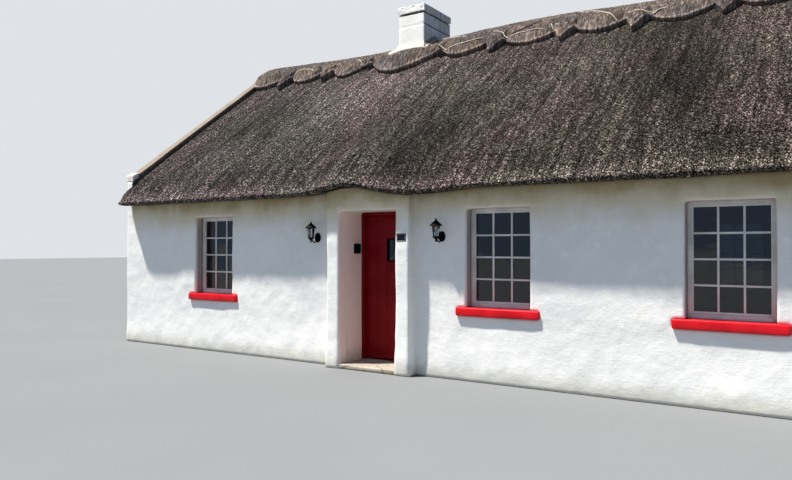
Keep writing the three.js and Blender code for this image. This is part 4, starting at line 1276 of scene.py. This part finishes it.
def make_window(base):
    """A fixed window of three by four panes with its painted sill."""
    x0, x1, y0, y1, z0, z1 = ends(base + "_frame")
    side = -1 if y0 < 0 else 1
    outer = y0 if side < 0 else y1

    def depth(a, b):
        return sorted((outer - side * a, outer - side * b))

    rim, rail, sash, bar, deep = 0.034, 0.046, 0.058, 0.011, 0.07
    rim0, rim1, sash0, sash1 = x0 + rim, x1 - rim, x0 + sash, x1 - sash
    grid_x = np.linspace(x0 + 0.05, x1 - 0.05, 4)
    grid_z = np.linspace(z0 + 0.074, z1 - 0.062, 5)
    # each bar's x0, x1, z0, z1, the depths of its two faces, and how soft its edges are
    bars = [
        (x0, rim0, z0, z1, 0, deep, 0.003),
        (rim1, x1, z0, z1, 0, deep, 0.003),
        (rim0, rim1, z1 - rim, z1, 0.001, deep, 0.003),
        (rim0, rim1, z0, z0 + rail, -0.012, deep, 0.004),
        (rim0, sash0, z0 + rail, z1 - rim, 0.010, 0.055, 0.003),
        (sash1, rim1, z0 + rail, z1 - rim, 0.010, 0.055, 0.003),
        (sash0, sash1, z1 - sash - 0.004, z1 - rim, 0.010, 0.055, 0.003),
        (sash0, sash1, z0 + rail, z0 + rail + 0.028, 0.008, 0.055, 0.004),
    ]
    bars += [(x - bar, x + bar, z0 + rail + 0.02, z1 - sash, 0.014, 0.05, 0.004) for x in grid_x[1:-1]]
    bars += [(sash0 - 0.01, sash1 + 0.01, z - bar, z + bar, 0.016, 0.048, 0.004) for z in grid_z[1:-1]]
    joinery = Parts()
    for left, right, low, high, near, far, soft in bars:
        joinery.block(left, right, *depth(near, far), low, high, soft)
    joinery.piece(base + "_joinery", WINDOW_PAINT, "window_paint", stands_for=base + "_frame")

    panes = Parts()
    rng = np.random.default_rng(int(abs(x0) * 1000))
    for i, j in np.ndindex(3, 4):
        wide, tall = grid_x[i : i + 2], grid_z[j : j + 2]
        made = panes.block(*wide, *depth(0.033, 0.036), *tall, soft=0.0008)
        away = made - made.mean(axis=0)
        lean = rng.normal(0, 0.006, 2)
        made[:, 1] += away[:, 0] * lean[0] + away[:, 2] * lean[1]
    panes.piece(base + "_panes", GLASS, "glass", sharp=12, stands_for=base + "_glass")

    low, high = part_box(base + "_sill")
    sill = Parts()
    sill.block(*ends(base + "_sill"), 0.014, 0.04)

    def worn(place):
        wave = layers(place, (6, 6, 9), 401, 3)[:, None] * np.array([0.002, 0.003, 0.003])
        return np.clip(place + wave, low, high)

    sill.piece(base + "_sill_painted", SILL_PAINT, "sill_red", bend=worn, stands_for=base + "_sill")


def make_door():
    """The ledged door: five boards in front of ledges and stiles, with its glazed light and handles."""
    x0, x1, y0, y1, z0, z1 = LEAF
    light0, light1, _, _, light_low, light_high = ends("door_light")
    leaf = Parts()
    edges = np.linspace(x0, x1, 6)
    for a, b in zip(edges[:-1], edges[1:]):
        spans = [(a, b, z0, z1, 0.0025)]
        if a < light0 < b:
            low, high = light_low - 0.004, light_high + 0.004
            spans = [(a, b, z0, light_low, 0.0025), (a, b, light_high, z1, 0.0025)]
            spans += [(a, light0, low, high, 0.0015), (light1, b, low, high, 0.0015)]
        for left, right, low, high, soft in spans:
            leaf.block(left, right, y0, BOARD_BACK, low, high, soft)
    for low, high in ((z0, 0.27), (0.98, 1.16), (light_high + 0.03, z1)):
        leaf.block(x0 + 0.004, x1 - 0.004, BOARD_BACK - 0.002, y1, low, high, 0.004)
    for a, b in ((x0, x0 + 0.1), (x1 - 0.1, x1)):
        leaf.block(a, b, BOARD_BACK - 0.002, y1 - 0.003, z0, z1, 0.004)
    # the weather bar at its foot, with a sloping top
    bar = leaf.block(x0 + 0.02, x1 - 0.02, y0 - 0.014, y0 + 0.004, z0 + 0.012, z0 + 0.062, 0.008)
    bar[:, 1] = np.where(bar[:, 2] > z0 + 0.04, np.maximum(bar[:, 1], y0 - 0.004), bar[:, 1])
    hinge_x, hinge_y = HINGE
    for z in (0.2903, 1.8303):
        leaf.lathe(KNUCKLE, (hinge_x, hinge_y, z), 16)
        leaf.block(hinge_x, hinge_x + 0.05, y1 - 0.003, y1 + 0.002, z, z + 0.04, 0.001)
    leaf.piece("door_leaf_boards", DOOR_PAINT, "door_red", "door", stands_for="door_leaf")

    bead = Parts()
    wide, over = 0.016, 0.004
    for near, far in ((y0 - 0.006, y0 + 0.012), (BOARD_BACK - 0.01, y1 + 0.001)):
        for a, b, low, high in (
            (light0 - over, light0 + wide, light_low, light_high),
            (light1 - wide, light1 + over, light_low, light_high),
            (light0 + wide, light1 - wide, light_low - over, light_low + wide),
            (light0 + wide, light1 - wide, light_high - wide, light_high + over),
        ):
            bead.block(a, b, near, far, low, high, 0.003)
    bead.piece("door_light_bead", BLACK_METAL, "black_metal", "door")

    for name, face, out in (("door_handle_outside", y0, -1), ("door_handle_inside", y1, 1)):
        x = sum(ends(name)[:2]) / 2
        handle = Parts()
        plate = sorted((face, face + out * 0.006))
        handle.block(x - 0.022, x + 0.022, *plate, HANDLE_Z - 0.09, HANDLE_Z + 0.09, 0.0022)
        for profile, dz, sides in HANDLE_PARTS:
            handle.lathe(profile, (x, face, HANDLE_Z + dz), sides, along=(0, out, 0))
        handle.piece(name + "_knob", BLACK_METAL, "black_metal", "door", stands_for=name)


def make_lantern(name):
    """A six-sided lantern on a scrolled arm from a round wall plate."""
    x0, x1, _, wall, _, _ = ends(name)
    x = (x0 + x1) / 2
    plate_z, out, start = 1.74, 0.15, 0.015
    y = wall - out
    iron = Parts()
    iron.lathe(LANTERN_PLATE, (x, wall, plate_z), 32, along=(0, -1, 0), squash=(0.86, 1.06))
    t = np.linspace(0, 1, 18)
    scroll_y = wall - start - (out - start) * t
    scroll_z = plate_z - 0.012 - 0.052 * np.sin(np.pi * np.minimum(t * 1.15, 1)) - 0.012 * t
    iron.tube(np.stack([np.full(18, x), scroll_y, scroll_z], axis=1), 0.0085, 10)
    iron.lathe(LANTERN_FOOT, (x, y, plate_z))
    low_r, high_r, high_z = 0.036, 0.051, plate_z + 0.130
    for a in np.arange(6) * np.pi / 3:
        foot = (x + low_r * math.cos(a), y + low_r * math.sin(a), plate_z - 0.003)
        head = (x + high_r * math.cos(a), y + high_r * math.sin(a), high_z)
        iron.tube(np.linspace(foot, head, 4), 0.0042, 6)
    for profile, sides in ((LANTERN_RING, 6), (LANTERN_CAP, 24), (LANTERN_FINIAL, 24)):
        iron.lathe(profile, (x, y, high_z), sides)
    iron.piece(name + "_ironwork", BLACK_METAL, "black_metal", stands_for=name)
    panes = Parts()
    panes.lathe(((low_r - 0.003, 0), (high_r - 0.003, 0.134)), (x, y, plate_z), 6)
    panes.piece(name + "_panes", LANTERN_GLASS, "glass")


def make_plate():
    """The bare number plate with a thin border and two studs."""
    x0, x1, y0, y1, z0, z1 = ends("number_plate")
    plate = Parts()
    plate.block(x0, x1, y0, y1, z0, z1, 0.0028, 0.02)
    plate.piece("number_plate_slate", SLATE, "slate_plate", stands_for="number_plate")
    border = Parts()
    inset, wide = 0.007, 0.0022
    a, b, c, d = x0 + inset, x1 - inset, z0 + inset, z1 - inset
    for left, right, low, high in (
        (a, b, c, c + wide), (a, b, d - wide, d), (a, a + wide, c, d), (b - wide, b, c, d),
    ):
        border.block(left, right, y0 - 0.0006, y0 + 0.001, low, high, 0.0004)
    for x in (x0 + 0.017, x1 - 0.017):
        border.lathe(STUD, (x, y0, (z0 + z1) / 2), 12, along=(0, -1, 0))
    border.piece("number_plate_line", WINDOW_PAINT, "window_paint")


def make_key_box():
    """The key box in the porch, with six buttons and a lock."""
    x0, x1, y0, y1, z0, z1 = ends("key_box")
    middle = (y0 + y1) / 2
    box = Parts()
    box.block(x0, x0 + 0.024, y0, y1, z0, z1, 0.004)
    box.block(x0 + 0.02, x1, y0 + 0.003, y1 - 0.003, z0 + 0.003, z1 - 0.003, 0.007)
    for row, column in np.ndindex(3, 2):
        centre = (x1 - 0.0016, middle + (column - 0.5) * 0.036, z1 - 0.03 - row * 0.022)
        box.lathe(BUTTON, centre, 12, along=(1, 0, 0))
    box.lathe(LOCK, (x1 - 0.001, middle, z0 + 0.024), 20, along=(1, 0, 0))
    box.piece("key_box_case", BLACK_METAL, "black_metal", stands_for="key_box")


def make_step():
    """The doorstep, worn down in its middle."""
    x0, x1, y0, y1, z0, z1 = ends("door_step")
    step = Parts()
    step.block(x0, x1, y0, y1, z0, z1, 0.014, 0.035)

    def worn(place):
        drop = 0.006 * bell(place[:, 0], (x0 + x1) / 2, 0.22) + 0.003 + 0.0025 * layers(place, 9, 501, 3)
        place[:, 2] -= smoothstep(z0 + 0.03, z1, place[:, 2]) * drop
        return place

    step.piece("door_step_worn", FLAGSTONE, "stone", bend=worn, stands_for="door_step")


# Frame nodes whose shape is already right, and their finish
NODE_LOOKS = {
    "roof_truss": TIMBER,
    "floor_slab": FLAGSTONE,
    "door_frame": DOOR_PAINT,
    "door_light": GLASS,
    "chimney_breast": LIMEWASH,
}


def dress_nodes():
    for name, node in nodes.items():
        for start, look in NODE_LOOKS.items():
            if name.startswith(start):
                for each in node.material_slots:
                    each.material = look


# Camera, light and floor


def make_floor(size=90.0, below=0.004):
    """A plain pale floor, just under the cottage."""
    m = Looks("studio_floor")
    pale = m.ramp(m.noise(0.4, 3), (0.3, (0.175, 0.18, 0.185)), (0.7, (0.185, 0.19, 0.195)))
    mesh = bpy.data.meshes.new("studio_floor")
    corners = [(-size, -size, -below), (size, -size, -below), (size, size, -below), (-size, size, -below)]
    mesh.from_pydata(corners, [], [(0, 1, 2, 3)])
    mesh.materials.append(m.finish(pale, 0.9, shine=0.1))
    floor = bpy.data.objects.new("studio_floor", mesh)
    bpy.context.scene.collection.objects.link(floor)


def make_world():
    """A soft blue light from everywhere, behind which the camera sees a plain pale backdrop."""
    world = bpy.data.worlds.new("studio")
    bpy.context.scene.world = world
    world.use_nodes = True
    tree = world.node_tree
    sky = tree.nodes["Background"]
    sky.inputs["Color"].default_value = (0.52, 0.71, 1.0, 1)
    sky.inputs["Strength"].default_value = 0.5
    backdrop = tree.nodes.new("ShaderNodeBackground")
    backdrop.inputs["Color"].default_value = (0.74, 0.77, 0.80, 1)
    seen = tree.nodes.new("ShaderNodeLightPath").outputs["Is Camera Ray"]
    choice = tree.nodes.new("ShaderNodeMixShader")
    for source, target in zip((seen, sky.outputs[0], backdrop.outputs[0]), choice.inputs):
        tree.links.new(source, target)
    tree.links.new(choice.outputs[0], tree.nodes["World Output"].inputs["Surface"])


def make_key_light():
    """The sun, from the front left and high up, with soft-edged shadows."""
    key = bpy.data.lights.new("key", "SUN")
    key.energy = 8.6
    key.angle = math.radians(2.5)
    key.color = (1.0, 0.965, 0.90)
    lamp = bpy.data.objects.new("key", key)
    towards = Vector((-1.35, -1.0, 3.8))
    lamp.rotation_euler = towards.to_track_quat("Z", "Y").to_euler()
    bpy.context.scene.collection.objects.link(lamp)


def make_camera():
    """The photo's camera, fitted to its lines and corners."""
    data = bpy.data.cameras.new("camera")
    data.lens = 31.503
    data.sensor_width = 36
    data.clip_end = 400
    camera = bpy.data.objects.new("camera", data)
    camera.location = (4.621, -10.823, 1.611)
    camera.rotation_euler = (math.pi / 2 + 0.010, 0, 0.58)
    bpy.context.scene.collection.objects.link(camera)
    bpy.context.scene.camera = camera


front_skin = make_slope("thatch_front", side=-1, step=0.0255)
back_skin = make_slope("thatch_back", side=1, step=0.041)
make_stubble(
    "thatch_front_stubble", front_skin, count=48000, seed=101,
    length=(0.014, 0.034), width=0.009, spread=0.24,
)
make_stubble(
    "thatch_back_stubble", back_skin, count=12000, seed=102,
    length=(0.03, 0.06), width=0.017, spread=0.2,
)
ridge_skin = make_ridge(step=0.0185)
make_walls()
make_chimney()
make_flare()
make_copings()
for base in sorted({n.rsplit("_", 1)[0] for n in nodes if n.startswith("window_")}):
    make_window(base)
make_door()
make_lantern("lantern_left")
make_lantern("lantern_right")
make_plate()
make_key_box()
make_step()
dress_nodes()
make_stubble(
    "thatch_ridge_straws", ridge_skin, count=11000, seed=103,
    length=(0.03, 0.06), width=0.008, spread=0.22, rise=(0, 0.2), look=(RIDGE_STRAW, "ridge"),
)
make_rods("thatch_ridge_rods_pale", ROD_WOOD, RODS, radius=0.0095)
make_rods("thatch_ridge_rod_dark", ROD_BARK, DARK_RODS, radius=0.012)
make_floor()
make_world()
make_key_light()
make_camera()
bpy.context.scene.view_settings.view_transform = "Standard"
